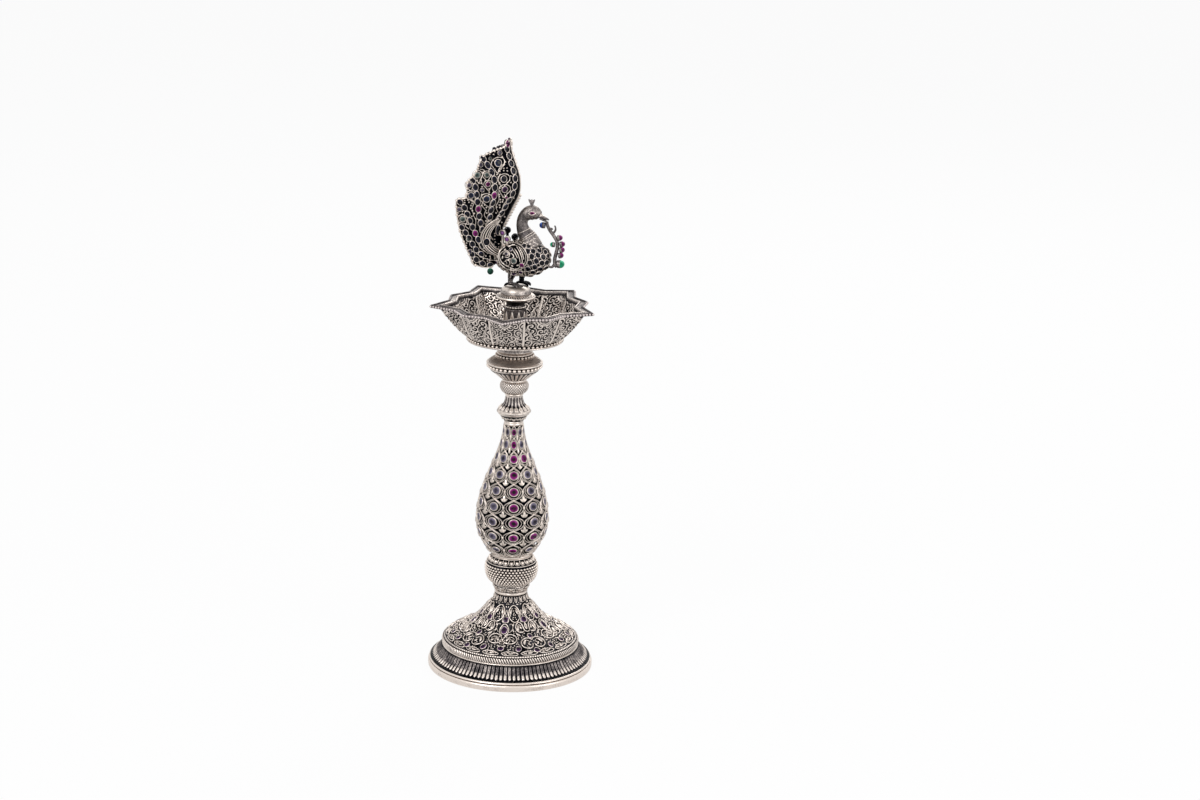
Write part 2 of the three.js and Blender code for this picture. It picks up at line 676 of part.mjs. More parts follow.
// Collar on top of the baluster
const topCollar = turned(
  [
    [bore, 0],
    [TOP_COLLAR_FOOT_RADIUS, 0],
    [TOP_COLLAR_FOOT_RADIUS, 0.2 * TOP_COLLAR_HEIGHT],
    [TOP_COLLAR_FOOT_RADIUS + 0.15 * (TOP_COLLAR_RADIUS - TOP_COLLAR_FOOT_RADIUS), 0.45 * TOP_COLLAR_HEIGHT],
    [TOP_COLLAR_RADIUS, TOP_COLLAR_HEIGHT],
    [bore, TOP_COLLAR_HEIGHT],
  ],
  SLIM_SIDES,
);
add(lamp, "baluster_top_collar", topCollar, silver, topCollarLevel);

// Bell disc: tongues lie on a hollow curve that rises from the edge to the neck.
const bellRun = BELL_RADIUS - BELL_NECK_RADIUS;
const bell = lobed(
  [
    [BELL_RADIUS - BELL_EDGE_ROUNDING, 0],
    [BELL_RADIUS, 0.09 * BELL_HEIGHT],
    [BELL_RADIUS - BELL_EDGE_ROUNDING, 0.19 * BELL_HEIGHT, BELL_TONGUE_DEPTH],
    [BELL_NECK_RADIUS + 0.36 * bellRun, 0.42 * BELL_HEIGHT, BELL_TONGUE_DEPTH],
    [BELL_NECK_RADIUS + 0.1 * bellRun, 0.7 * BELL_HEIGHT],
    [BELL_NECK_RADIUS, BELL_HEIGHT],
  ],
  bore,
  bore,
  BELL_TONGUES,
  3,
);
add(lamp, "bell_disc", bell, silver, bellLevel);

// Neck ring and hatched bulb
const neckRing = barrel(NECK_RING_HEIGHT, NECK_RING_RADIUS, BELL_NECK_RADIUS, 2, SLIM_SIDES);
add(lamp, "neck_ring", neckRing, silver, neckRingLevel);
const smallBulb = barrel(SMALL_BULB_HEIGHT, SMALL_BULB_RADIUS, SMALL_BULB_END_RADIUS, 4, SLIM_SIDES);
add(lamp, "hatched_bulb", smallBulb, silver, smallBulbLevel);

// Fluted cup, with a shoulder for its bead ring
const cupShoulder = CUP_HEIGHT - DISC_BEAD_HEIGHT - SEAM_GAP;
const cupNeckRadius = CUP_RADIUS - 1;
const cup = lobed(
  [
    [CUP_FOOT_RADIUS, 0],
    [CUP_FOOT_RADIUS, CUP_FOOT_HEIGHT],
    [CUP_FOOT_RADIUS + 0.38 * (CUP_RADIUS - CUP_FOOT_RADIUS), 0.42 * cupShoulder, CUP_FLUTE_DEPTH],
    [CUP_RADIUS, 0.93 * cupShoulder, CUP_FLUTE_DEPTH],
    [CUP_RADIUS, cupShoulder],
    [cupNeckRadius, cupShoulder],
    [cupNeckRadius, CUP_HEIGHT],
  ],
  bore,
  bore,
  CUP_FLUTES,
  3,
);
add(lamp, "fluted_cup", cup, silver, cupLevel);

// A beaded wire bent to a ring, which narrows towards its outer side
function beadRing(innerRadius, width, height, segments) {
  return turned(
    [
      [innerRadius, 0],
      [innerRadius + width, 0.25 * height],
      [innerRadius + width, 0.75 * height],
      [innerRadius, height],
    ],
    segments,
  );
}
const discBeads = beadRing(cupNeckRadius + SEAM_GAP, DISC_BEAD_WIDTH, DISC_BEAD_HEIGHT, STEM_SIDES);
add(lamp, "disc_bead_ring", discBeads, silver, cupLevel + cupShoulder);

// Seat of the bowl: disc edge, hollow curve, neck with a ring, a blind hole for the tie rod
// below and a socket for the centre post's stud above
const studSocket = STUD_RADIUS + SLIDE_GAP;
const socketFloor = seatHeight - STUD_LENGTH + BOWL_FLOOR_THICKNESS - ROD_END_GAP;
const ringBottom = seatNeckHeight + SEAT_BEAD_HEIGHT + SEAM_GAP;
const coveShoulder = SEAT_NECK_RADIUS + SEAM_GAP + SEAT_BEAD_WIDTH;
const seat = turned(
  [
    [0, rodSocketTop - seatLevel],
    [bore, rodSocketTop - seatLevel],
    [bore, 0],
    [SEAT_DISC_RADIUS, 0],
    [SEAT_DISC_RADIUS, SEAT_DISC_EDGE],
    [coveShoulder + 0.35 * (SEAT_DISC_RADIUS - coveShoulder), SEAT_DISC_EDGE + 0.5 * SEAT_COVE_HEIGHT],
    [coveShoulder, seatNeckHeight],
    [SEAT_NECK_RADIUS, seatNeckHeight],
    [SEAT_NECK_RADIUS, ringBottom],
    [SEAT_RING_RADIUS, ringBottom],
    [SEAT_RING_RADIUS, ringBottom + SEAT_RING_HEIGHT],
    [SEAT_NECK_RADIUS, ringBottom + SEAT_RING_HEIGHT],
    [SEAT_NECK_RADIUS, seatHeight],
    [studSocket, seatHeight],
    [studSocket, socketFloor],
    [0, socketFloor],
  ],
  STEM_SIDES,
);
add(lamp, "bowl_seat", seat, silver, seatLevel);
const seatBeads = beadRing(SEAT_NECK_RADIUS + SEAM_GAP, SEAT_BEAD_WIDTH, SEAT_BEAD_HEIGHT, STEM_SIDES);
add(lamp, "seat_bead_ring", seatBeads, silver, seatLevel + seatNeckHeight);

// Outline of the star, with a point at each tip and notch
function starOutline() {
  return Array.from({ length: LONG_TIPS * 4 }, (_, k) => {
    const angle = THREE.MathUtils.degToRad(FRONT_TIP_TURN - 90 + (k * 90) / LONG_TIPS);
    const radius = k % 2 ? NOTCH_RADIUS : k % 4 ? SHORT_TIP_RADIUS : LONG_TIP_RADIUS;
    return new THREE.Vector2(radius * Math.cos(angle), radius * Math.sin(angle));
  });
}

// The same outline moved in by a distance, square to its edges
function inset(outline, distance) {
  return outline.map((point, i) => {
    const before = outline[(i + outline.length - 1) % outline.length];
    const after = outline[(i + 1) % outline.length];
    const arriving = point.clone().sub(before).normalize();
    const leaving = after.clone().sub(point).normalize();
    const inward = new THREE.Vector2(-arriving.y - leaving.y, arriving.x + leaving.x).normalize();
    const lean = inward.x * -leaving.y + inward.y * leaving.x;
    return point.clone().addScaledVector(inward, distance / lean);
  });
}
const circle = (outline, radius) => outline.map((point) => point.clone().setLength(radius));
const between = (a, b, share) => a.map((point, i) => point.clone().lerp(b[i], share));

// A closed body through horizontal rings of equal count, the last joined to the first
function ringStack(rings) {
  const count = rings[0].outline.length;
  const positions = rings.flatMap(({ outline, height }) => outline.map((p) => [p.x, p.y, height]));
  const indices = [];
  const at = (ring, i) => (ring % rings.length) * count + (i % count);
  for (let ring = 0; ring < rings.length; ring++)
    for (let i = 0; i < count; i++) {
      indices.push(at(ring, i), at(ring, i + 1), at(ring + 1, i + 1));
      indices.push(at(ring, i), at(ring + 1, i + 1), at(ring + 1, i));
    }
  return surface(positions, indices);
}

// Bowl: a thick floor with a small flange, a wall that opens from a circle to the star, a flat lip
const star = starOutline();
const wallFoot = BOWL_FLOOR_RISE + BOWL_FLANGE_HEIGHT + BOWL_BEAD_HEIGHT;
const wallTop = wallFoot + BOWL_WALL_HEIGHT;
const lipTop = wallTop + LIP_THICKNESS;
const outerBase = circle(star, BOWL_FLOOR_RADIUS);
const innerBase = circle(star, BOWL_FLOOR_RADIUS - BOWL_WALL);
const outerTop = inset(star, LIP_WIDTH);
const innerTop = inset(star, LIP_WIDTH + BOWL_WALL);
const floorEdge = circle(star, BOWL_FLOOR_RADIUS - 3 * BOWL_WALL);
const flangeRadius = BOWL_FLOOR_RADIUS + BOWL_FLANGE_WIDTH;
const wallLevel = (share) => wallFoot + share * BOWL_WALL_HEIGHT;
const bowl = ringStack([
  { outline: circle(star, studSocket), height: 0 },
  { outline: circle(star, SEAT_NECK_RADIUS), height: 0 },
  { outline: circle(star, flangeRadius), height: BOWL_FLOOR_RISE },
  { outline: circle(star, flangeRadius), height: BOWL_FLOOR_RISE + BOWL_FLANGE_HEIGHT },
  { outline: outerBase, height: BOWL_FLOOR_RISE + BOWL_FLANGE_HEIGHT },
  { outline: outerBase, height: wallFoot },
  { outline: between(outerBase, outerTop, 0.6), height: wallLevel(0.5) },
  { outline: outerTop, height: wallTop },
  { outline: star, height: wallTop },
  { outline: star, height: lipTop },
  { outline: innerTop, height: lipTop },
  { outline: between(innerBase, innerTop, 0.6), height: wallLevel(0.5) },
  { outline: innerBase, height: wallFoot },
  { outline: floorEdge, height: BOWL_FLOOR_RISE + BOWL_FLOOR_THICKNESS },
  { outline: circle(star, POST_FLANGE_RADIUS + SEAM_GAP), height: BOWL_FLOOR_THICKNESS },
  { outline: circle(star, studSocket), height: BOWL_FLOOR_THICKNESS },
]);
add(lamp, "star_bowl", bowl, silver, bowlLevel);
const rimWire = ringStack([
  { outline: inset(star, RIM_WIRE_WIDTH), height: 0 },
  { outline: star, height: 0 },
  { outline: inset(star, 0.2 * RIM_WIRE_WIDTH), height: RIM_WIRE_HEIGHT },
  { outline: inset(star, 0.8 * RIM_WIRE_WIDTH), height: RIM_WIRE_HEIGHT },
]);
add(lamp, "rim_bead_wire", rimWire, silver, bowlLevel + lipTop);
const bowlBeadInner = BOWL_FLOOR_RADIUS + SEAM_GAP;
const bowlBeadHeight = BOWL_BEAD_HEIGHT - SEAM_GAP;
const bowlBeads = beadRing(bowlBeadInner, BOWL_BEAD_WIDTH, bowlBeadHeight, FOOT_SIDES);
add(lamp, "bowl_bead_ring", bowlBeads, silver, bowlLevel + BOWL_FLOOR_RISE + BOWL_FLANGE_HEIGHT);

// Centre post: its stud passes through the bowl's floor into the seat, and its top has a socket.
const postLevel = bowlLevel + BOWL_FLOOR_THICKNESS;
const postTop = POST_HEIGHT + POST_BOSS_HEIGHT;
const spigotSocket = SPIGOT_RADIUS + SLIDE_GAP;
const post = turned(
  [
    [0, -STUD_LENGTH],
    [STUD_RADIUS, -STUD_LENGTH],
    [STUD_RADIUS, 0],
    [POST_FLANGE_RADIUS, 0],
    [POST_FLANGE_RADIUS, POST_FLANGE_HEIGHT],
    [POST_RADIUS, 2 * POST_FLANGE_HEIGHT],
    [POST_RADIUS, POST_HEIGHT],
    [POST_BOSS_RADIUS, POST_HEIGHT],
    [POST_BOSS_RADIUS, postTop],
    [spigotSocket, postTop],
    [spigotSocket, postTop - SPIGOT_DEPTH - ROD_END_GAP],
    [0, postTop - SPIGOT_DEPTH - ROD_END_GAP],
  ],
  SLIM_SIDES,
);
add(lamp, "centre_post", post, silver, postLevel);
const postBeads = beadRing(POST_BOSS_RADIUS + SEAM_GAP, POST_BEAD_WIDTH, POST_BEAD_HEIGHT, SLIM_SIDES);
add(lamp, "post_bead_ring", postBeads, silver, postLevel + POST_HEIGHT);

// Finial base: a waisted disc, a plain dome and the spigot that joins them to the post
const finialLevel = postLevel + postTop;
const discHeight = FINIAL_WAIST_HEIGHT + FINIAL_DISC_HEIGHT;
const finialDisc = turned(
  [
    [spigotSocket, 0],
    [POST_BOSS_RADIUS, 0],
    [1.1 * POST_BOSS_RADIUS, 0.45 * FINIAL_WAIST_HEIGHT],
    [0.7 * FINIAL_DISC_RADIUS, 0.85 * FINIAL_WAIST_HEIGHT],
    [FINIAL_DISC_RADIUS - 0.5 * FINIAL_DISC_ROUNDING, FINIAL_WAIST_HEIGHT],
    [FINIAL_DISC_RADIUS, FINIAL_WAIST_HEIGHT + 0.5 * FINIAL_DISC_HEIGHT],
    [FINIAL_DISC_RADIUS - FINIAL_DISC_ROUNDING, discHeight],
    [spigotSocket, discHeight],
  ],
  STEM_SIDES,
);
add(lamp, "finial_disc", finialDisc, silver, finialLevel);
const finialDome = turned(
  [
    [0, DOME_SOCKET_DEPTH],
    [spigotSocket, DOME_SOCKET_DEPTH],
    [spigotSocket, 0],
    [FINIAL_DOME_RADIUS, 0],
    [FINIAL_DOME_RADIUS, 0.35 * FINIAL_DOME_HEIGHT],
    [FINIAL_TOP_RADIUS + 0.7 * (FINIAL_DOME_RADIUS - FINIAL_TOP_RADIUS), 0.78 * FINIAL_DOME_HEIGHT],
    [FINIAL_TOP_RADIUS, FINIAL_DOME_HEIGHT],
    [0, FINIAL_DOME_HEIGHT],
  ],
  SLIM_SIDES,
);
add(lamp, "finial_dome", finialDome, silver, finialLevel + discHeight);
const spigotLength = SPIGOT_DEPTH + discHeight + DOME_SOCKET_DEPTH - ROD_END_GAP;
const spigot = new THREE.CylinderGeometry(SPIGOT_RADIUS, SPIGOT_RADIUS, spigotLength, ROD_SIDES);
spigot.rotateX(Math.PI / 2).translate(0, 0, 0.5 * spigotLength);
add(lamp, "finial_spigot", spigot, silver, finialLevel - SPIGOT_DEPTH);

// The peacock's own frame stands on the dome.
const bird = new THREE.Group();
bird.position.z = finialLevel + discHeight + FINIAL_DOME_HEIGHT;
bird.rotation.z = -THREE.MathUtils.degToRad(PEACOCK_TURN);
lamp.add(bird);
const mirror = (stations) => stations.map(([x, y, ...rest]) => [x, -y, ...rest]);

// Body: stations from the rump to the breast, as [x, y, height, half width, half height]
const bodyStations = [
  [-12.5, 0, 17.5, 2.5, 3],
  [-9, 0, 17, 6, 6.5],
  [-4, 0, 16.6, 8.6, 9],
  [2, 0, 16.6, 9.6, 10.2],
  [8, 0, 16.9, 9.2, 10.5],
  [13, 0, 18, 7.4, 9],
  [16.5, 0, 19.6, 4.9, 6.5],
  [18.7, 0, 21, 2.2, 3],
];
const BODY_SIDES = 14;
add(bird, "peacock_body", loft(bodyStations, BODY_SIDES), silver);
const bodyRoom = solid(loft(bodyStations, BODY_SIDES, SEAM_GAP));
const onBody = (geometry) => solid(geometry).subtract(bodyRoom);

// Neck and head in one casting, from the shoulders to the tip of the beak
const neckStations = [
  [9.5, 0, 23, 6.2, 6.2],
  [7.1, 0, 28, 5, 5.3],
  [4.2, 0, 32.5, 3.6, 3.9],
  [3.1, 0, 36.5, 3.1, 3.2],
  [3.9, 0, 40.3, 3, 3.2],
  [6.7, 0, 43, 3.6, 3.9],
  [9.8, 0, 43.6, 3.6, 4.2],
  [12.8, 0, 42.6, 2.5, 2.9],
  [14.4, 0, 41.8, 1.3, 1.4],
  [16.6, 0, 41, 0.9, 0.9],
  [18.6, 0, 40.3, 0.4, 0.4],
];
const NECK_SIDES = 8;
add(bird, "neck_and_head", shape(onBody(loft(neckStations, NECK_SIDES))), silver);
const headRoom = solid(loft(neckStations, NECK_SIDES, SEAM_GAP));

// Crest on the crown of the head
const crestStations = [
  [9.1, 0, 46.4, 0.8, 0.9],
  [8.7, 0, 49, 0.7, 1],
  [8.5, 0, 50.5, 1, 2],
  [8.4, 0, 51.3, 0.8, 1.6],
];
add(bird, "crest", shape(solid(loft(crestStations, 6)).subtract(headRoom)), silver);

// Legs: a feathered thigh inside the body, a shank, three toes in front and one behind
function leg(x, side) {
  const y = LEG_SPREAD * side;
  const ankle = [x, y, 1.3, 1, 1];
  const shank = loft([[x + 1.5, 0.8 * y, 11, 2.4, 2.8], [x + 0.5, y, 6, 1.5, 1.7], ankle], 6);
  let foot = solid(shank);
  for (const angle of [-0.5, 0, 0.5, Math.PI]) {
    const reach = (share) => [
      x + share * TOE_LENGTH * Math.cos(angle),
      y + share * TOE_LENGTH * Math.sin(angle),
    ];
    const toe = [
      [...reach(-0.1), SEAM_GAP + 1, 0.8, 0.9],
      [...reach(1), SEAM_GAP + 0.5, 0.5, 0.4],
    ];
    foot = foot.add(solid(loft(toe, 4)));
  }
  return shape(foot.subtract(bodyRoom));
}
add(bird, "right_leg", leg(-STRIDE, -1), silver);
add(bird, "left_leg", leg(STRIDE, 1), silver);

// Curled plumes that rise from the rump on both sides of the tail
const plumeStations = [
  [-7.5, -3.5, 18.5, 1, 1.6],
  [-11.2, -8.2, 21, 1.2, 2.2],
  [-14.4, -10.6, 24.8, 1.2, 2.6],
  [-15.8, -11.4, 29.2, 1.1, 2.7],
  [-14.4, -11.2, 33.6, 0.9, 2.2],
  [-11.4, -10.4, 37.4, 0.8, 1.5],
  [-7.9, -9.4, 40.4, 0.4, 0.6],
];
add(bird, "right_plume", shape(onBody(loft(plumeStations, 6))), silver);
add(bird, "left_plume", shape(onBody(loft(mirror(plumeStations), 6))), silver);
const rightPlumeRoom = solid(loft(plumeStations, 6, SEAM_GAP));
const leftPlumeRoom = solid(loft(mirror(plumeStations), 6, SEAM_GAP));

// Wings: oval shells that follow the body's flanks
function wing(side, plumeRoom) {
  const outline = new THREE.Shape();
  outline.absellipse(WING_CENTRE[0], WING_CENTRE[1], WING_HALF_LENGTH, WING_HALF_HEIGHT, 0, 2 * Math.PI);
  const reach = 20;
  const block = new THREE.ExtrudeGeometry(outline, { depth: reach, bevelEnabled: false, curveSegments: 9 });
  block.rotateX(Math.PI / 2);
  if (side > 0) block.translate(0, reach, 0);
  const skin = solid(loft(bodyStations, BODY_SIDES, SEAM_GAP + WING_THICKNESS));
  return shape(skin.subtract(bodyRoom).intersect(solid(block)).subtract(plumeRoom));
}
add(bird, "right_wing", wing(-1, rightPlumeRoom), silver);
add(bird, "left_wing", wing(1, leftPlumeRoom), silver);

// Tail: lines of feathers as [x, height] from the rump out to the rim; the first is the spine.
const spineLine = [
  [-8.6, 28],
  [-8.6, 33.9],
  [-3.1, 45.7],
  [1, 54.5],
  [1.3, 62.6],
  [-0.4, 69.2],
  [-3.8, 78.4],
  [-4.9, 85.4],
];
const featherLines = [
  spineLine,
  [[-8.8, 26.5], [-9, 34], [-5.8, 48], [-3.1, 62], [-7.4, 81.7]],
  [[-9, 25], [-9.6, 34], [-9.2, 50], [-7.8, 62], [-12.2, 79.9]],
  [[-9.5, 23], [-11.2, 32], [-12.9, 46], [-12, 60], [-17.6, 76.4]],
  [[-9.5, 22], [-12.6, 32], [-16.2, 46], [-16.8, 56], [-20.9, 67.4]],
  [[-9.5, 21], [-14.2, 31.5], [-19.5, 43], [-24.8, 62.5]],
  [[-9.5, 20.2], [-15.2, 29], [-21.2, 39], [-25.7, 53.6]],
  [[-9.5, 19.5], [-16.2, 26.6], [-23, 35], [-31, 51.4]],
  [[-9.5, 18], [-15, 21.5], [-22, 25.5], [-30.3, 37]],
  [[-9.5, 16], [-14, 16.5], [-20, 19], [-27, 25.5]],
  [[-9.5, 14], [-12, 12.2], [-16, 11.2], [-22, 13.2]],
];
const TAIL_STEPS = 6;
const SPINE_SAMPLES = 40;

function along(line, share) {
  const curve = new THREE.SplineCurve(line.map(([x, h]) => new THREE.Vector2(x, h)));
  return curve.getPoint(share);
}

// How far from the spine, and so how far to the side, a point of the fan lies
const spineX = (() => {
  const samples = Array.from({ length: SPINE_SAMPLES + 1 }, (_, i) => along(spineLine, i / SPINE_SAMPLES));
  return (height) => {
    const above = samples.findIndex((p) => p.y >= height);
    if (above <= 0) return above < 0 ? samples.at(-1).x : samples[0].x;
    const a = samples[above - 1];
    const b = samples[above];
    return a.x + ((b.x - a.x) * (height - a.y)) / (b.y - a.y);
  };
})();
const fanSide = (x, height) => {
  const distance = Math.max(spineX(height) - x, 0);
  return SPINE_HALF_WIDTH + SEAM_GAP + TAIL_SWEEP * (1 - Math.exp(-distance / TAIL_FOLD));
};

// The right half; the left one is its mirror image. Both leave room for the body and the plumes.
function tailHalf(side, plumeRoom) {
  const polygons = [];
  for (let line = 0; line < featherLines.length - 1; line++)
    for (let step = 0; step < TAIL_STEPS; step++) {
      const quad = [
        [line + 1, step],
        [line, step],
        [line, step + 1],
        [line + 1, step + 1],
      ];
      polygons.push(side < 0 ? quad : quad.reverse());
    }
  const place = (line, step, depth) => {
    const point = along(featherLines[line], step / TAIL_STEPS);
    return [point.x, side * (fanSide(point.x, point.y) + depth), point.y];
  };
  const sheet = thickSheet(
    polygons,
    (line, step) => place(line, step, TAIL_THICKNESS),
    (line, step) => place(line, step, 0),
  );
  return shape(onBody(sheet).subtract(plumeRoom));
}
add(bird, "right_tail", tailHalf(-1, rightPlumeRoom), silver);
add(bird, "left_tail", tailHalf(1, leftPlumeRoom), silver);
const spineSteps = 12;
const spineStations = Array.from({ length: spineSteps + 1 }, (_, i) => {
  const point = along(spineLine, i / spineSteps);
  const slim = 1 - 0.4 * (i / spineSteps);
  return [point.x - SPINE_SET_BACK, 0, point.y, SPINE_HALF_WIDTH * slim, SPINE_HALF_DEPTH * slim];
});
spineStations.unshift([-5, 0, 22, SPINE_HALF_WIDTH, SPINE_HALF_DEPTH]);
add(bird, "tail_spine", shape(onBody(loft(spineStations, 6))), silver);

// Vine held in the beak: the main stem, the hook near its top and the scroll that meets the breast
const vineLine = [
  [17.9, 38.9],
  [18.3, 36.6],
  [19.8, 33.8],
  [22.2, 30.8],
  [24.2, 27.4],
  [24.4, 24],
  [23.6, 20],
  [23, 16.8],
  [23.2, 14.4],
];
const hookLine = [
  [20.4, 33.2],
  [22.2, 33.2],
  [23, 34.9],
  [22.7, 36.7],
];
const scrollLine = [
  [23.2, 15],
  [21.8, 12.8],
  [20, 12.6],
  [18.9, 14],
];
const tube = (line, radius, endRadius = radius) =>
  solid(
    loft(
      line.map(([x, h], i) => {
        const r = radius + (endRadius - radius) * (i / (line.length - 1));
        return [x, 0, h, r, r];
      }),
      6,
    ),
  );
const vine = tube(vineLine, 0.8 * VINE_RADIUS, VINE_RADIUS)
  .add(tube(hookLine, 0.8 * VINE_RADIUS, 0.4 * VINE_RADIUS))
  .add(tube(scrollLine, 0.9 * VINE_RADIUS, 0.7 * VINE_RADIUS))
  .subtract(bodyRoom)
  .subtract(headRoom);
add(bird, "beak_vine", shape(vine), silver);

// A round stone in its cup, set against a point of the vine on the side given by a direction
function bead(name, radius, [x, height], angle, carrier, material) {
  const ball = new THREE.SphereGeometry(radius, 7, 4);
  const distance = carrier + SEAM_GAP + radius;
  const mesh = add(bird, name, ball, material);
  mesh.position.set(x + distance * Math.cos(angle), 0, height + distance * Math.sin(angle));
}
const BERRY_LINE = [
  [23, 29.6],
  [24.5, 26],
  [24.4, 22.6],
  [23.8, 19.3],
];
BERRY_LINE.forEach((point, i) => {
  bead(`vine_berry_${i + 1}`, BERRY_RADIUS, point, BERRY_TURN, VINE_RADIUS, ruby);
});
bead("vine_emerald", EMERALD_RADIUS, vineLine.at(-1), 0, VINE_RADIUS, emerald);
bead("vine_blue_bead", BEAD_RADIUS, vineLine[1], Math.PI, VINE_RADIUS, sapphire);
bead("breast_green_bead", GREEN_BEAD_RADIUS, GREEN_BEAD_PLACE, Math.PI, VINE_RADIUS, emerald);

// Drop under the right half of the tail
const dropTop = along(featherLines.at(-1), 0.3).y - TAIL_THICKNESS;
const drop = add(bird, "tail_drop_bead", new THREE.SphereGeometry(BEAD_RADIUS, 7, 4), emerald);
drop.position.set(DROP_X, -fanSide(DROP_X, dropTop) - 0.5 * TAIL_THICKNESS, dropTop - BEAD_RADIUS);

// Eyes on both sides of the head, against its flat side facets
const [eyeX, , eyeHeight, headHalfWidth] = neckStations[6];
const cheek = headHalfWidth * Math.cos(Math.PI / NECK_SIDES);
for (const [name, side] of [["right_eye_ruby", -1], ["left_eye_ruby", 1]]) {
  const eye = add(bird, name, stone(2 * EYE_RADIUS, 2 * EYE_RADIUS, EYE_RISE), ruby);
  eye.rotation.x = -side * 0.5 * Math.PI;
  eye.position.set(eyeX, side * (cheek + SEAM_GAP), eyeHeight);
}

// Ruby near the tip of the tail, laid on the fan's right half
const tipPoint = along(featherLines[1], 1).lerp(along(spineLine, 1), 0.5);
tipPoint.y -= TIP_RUBY_DROP;
const fanPoint = (x, h) => new THREE.Vector3(x, -fanSide(x, h) - TAIL_THICKNESS, h);
const centre = fanPoint(tipPoint.x, tipPoint.y);
const upFan = fanPoint(tipPoint.x, tipPoint.y + 1).sub(centre).normalize();
const outOfFan = fanPoint(tipPoint.x + 1, tipPoint.y).sub(centre).cross(upFan).normalize();
const tipStone = stone(2 * TIP_RUBY_RADIUS, 3 * TIP_RUBY_RADIUS, TIP_RUBY_RISE);
const tip = add(bird, "tail_tip_ruby", tipStone, ruby);
tip.quaternion.setFromRotationMatrix(
  new THREE.Matrix4().makeBasis(upFan.clone().cross(outOfFan), upFan, outOfFan),
);
tip.position.copy(centre).addScaledVector(outOfFan, 2 * SEAM_GAP);

export default lamp;
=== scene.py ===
# Standing oil lamp of oxidised silver set with stones: looks for the imported solids.
# Lengths in the script are millimetres, turned into metres when a mesh is made. Z is up, the
# origin is the centre of the foot's underside, and the viewer stands towards -Y.
# Every raised form carries an attribute, shade: 1 where the metal is rubbed bright and 0 where
# it lies deep and stays black. It is partly the silver's own oxide and wear, and partly painted
# shade in hollows and between parts and painted highlights on what stands out.

import math

import bpy
import numpy as np
from mathutils import Matrix


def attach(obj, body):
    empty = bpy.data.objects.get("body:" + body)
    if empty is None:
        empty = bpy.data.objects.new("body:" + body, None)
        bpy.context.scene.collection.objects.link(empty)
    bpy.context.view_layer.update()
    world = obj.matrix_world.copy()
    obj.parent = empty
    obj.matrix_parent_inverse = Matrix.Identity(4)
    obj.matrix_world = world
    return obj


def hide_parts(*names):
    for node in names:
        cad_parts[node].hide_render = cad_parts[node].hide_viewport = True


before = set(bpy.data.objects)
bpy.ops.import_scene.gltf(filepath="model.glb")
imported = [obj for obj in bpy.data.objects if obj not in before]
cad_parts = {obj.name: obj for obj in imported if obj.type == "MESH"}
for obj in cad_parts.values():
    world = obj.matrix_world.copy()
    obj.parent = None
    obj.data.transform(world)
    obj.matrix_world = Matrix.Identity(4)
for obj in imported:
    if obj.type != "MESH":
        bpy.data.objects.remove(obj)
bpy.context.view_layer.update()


# Studio: a pale floor and surroundings that the camera sees as white, and three broad lamps.
# The viewpoint is the photograph's, found from the ellipses of the foot, the dome and the bowl.
def rgb(code):
    """Linear colour from a hex sRGB code."""
    srgb = [int(code[i : i + 2], 16) / 255 for i in (0, 2, 4)]
    return (*[c / 12.92 if c <= 0.04045 else ((c + 0.055) / 1.055) ** 2.4 for c in srgb], 1.0)


def add(tree, kind, **values):
    """A shader node with its properties and inputs set; an input given a socket is linked to it."""
    node = tree.nodes.new(kind)
    for key, value in values.items():
        if hasattr(node, key):
            setattr(node, key, value)
            continue
        name = key.replace("_", " ")
        socket = node.inputs[int(key[1:])] if key[1:].isdigit() else node.inputs[name]
        if isinstance(value, bpy.types.NodeSocket):
            tree.links.new(value, socket)
        else:
            socket.default_value = value
    return node


def seen_rays(tree):
    """1 for rays that see the surroundings: from the camera, or off metal and through glass."""
    rays = add(tree, "ShaderNodeLightPath")
    either = add(tree, "ShaderNodeMath", operation="MAXIMUM", i0=rays.outputs["Is Camera Ray"],
                 i1=rays.outputs["Is Glossy Ray"])
    return add(tree, "ShaderNodeMath", operation="MAXIMUM", i0=either.outputs[0],
               i1=rays.outputs["Is Transmission Ray"]).outputs[0]


scene = bpy.context.scene
scene.view_settings.view_transform = "Standard"
world = bpy.data.worlds.new("studio")
scene.world = world
world.use_nodes = True
tree = world.node_tree
tree.nodes.clear()
seen = add(tree, "ShaderNodeBackground", Color=rgb("ffffff"), Strength=1.0)
light = add(tree, "ShaderNodeBackground", Color=rgb("eef0f4"), Strength=0.5)
both = add(tree, "ShaderNodeMixShader", Fac=seen_rays(tree), i1=light.outputs[0], i2=seen.outputs[0])
add(tree, "ShaderNodeOutputWorld", Surface=both.outputs[0])

FLOOR_REACH = 6.0  # metres
WHITE_SHARE = 0.93  # of the floor that the camera sees
floor_mesh = bpy.data.meshes.new("floor")
floor_corners = [(x * FLOOR_REACH, y * FLOOR_REACH, 0) for x, y in ((-1, -1), (1, -1), (1, 1), (-1, 1))]
floor_mesh.from_pydata(floor_corners, [], [(0, 1, 2, 3)])
floor = bpy.data.objects.new("floor", floor_mesh)
scene.collection.objects.link(floor)
paint = bpy.data.materials.new("floor_paint")
paint.use_nodes = True
tree = paint.node_tree
tree.nodes.clear()
matt = add(tree, "ShaderNodeBsdfDiffuse", Color=rgb("f2f2f2"))
white = add(tree, "ShaderNodeEmission", Color=rgb("ffffff"), Strength=1.0)
share = add(tree, "ShaderNodeMath", operation="MULTIPLY", i0=seen_rays(tree), i1=WHITE_SHARE).outputs[0]
both = add(tree, "ShaderNodeMixShader", Fac=share, i1=matt.outputs[0], i2=white.outputs[0])
add(tree, "ShaderNodeOutputMaterial", Surface=both.outputs[0])
floor_mesh.materials.append(paint)

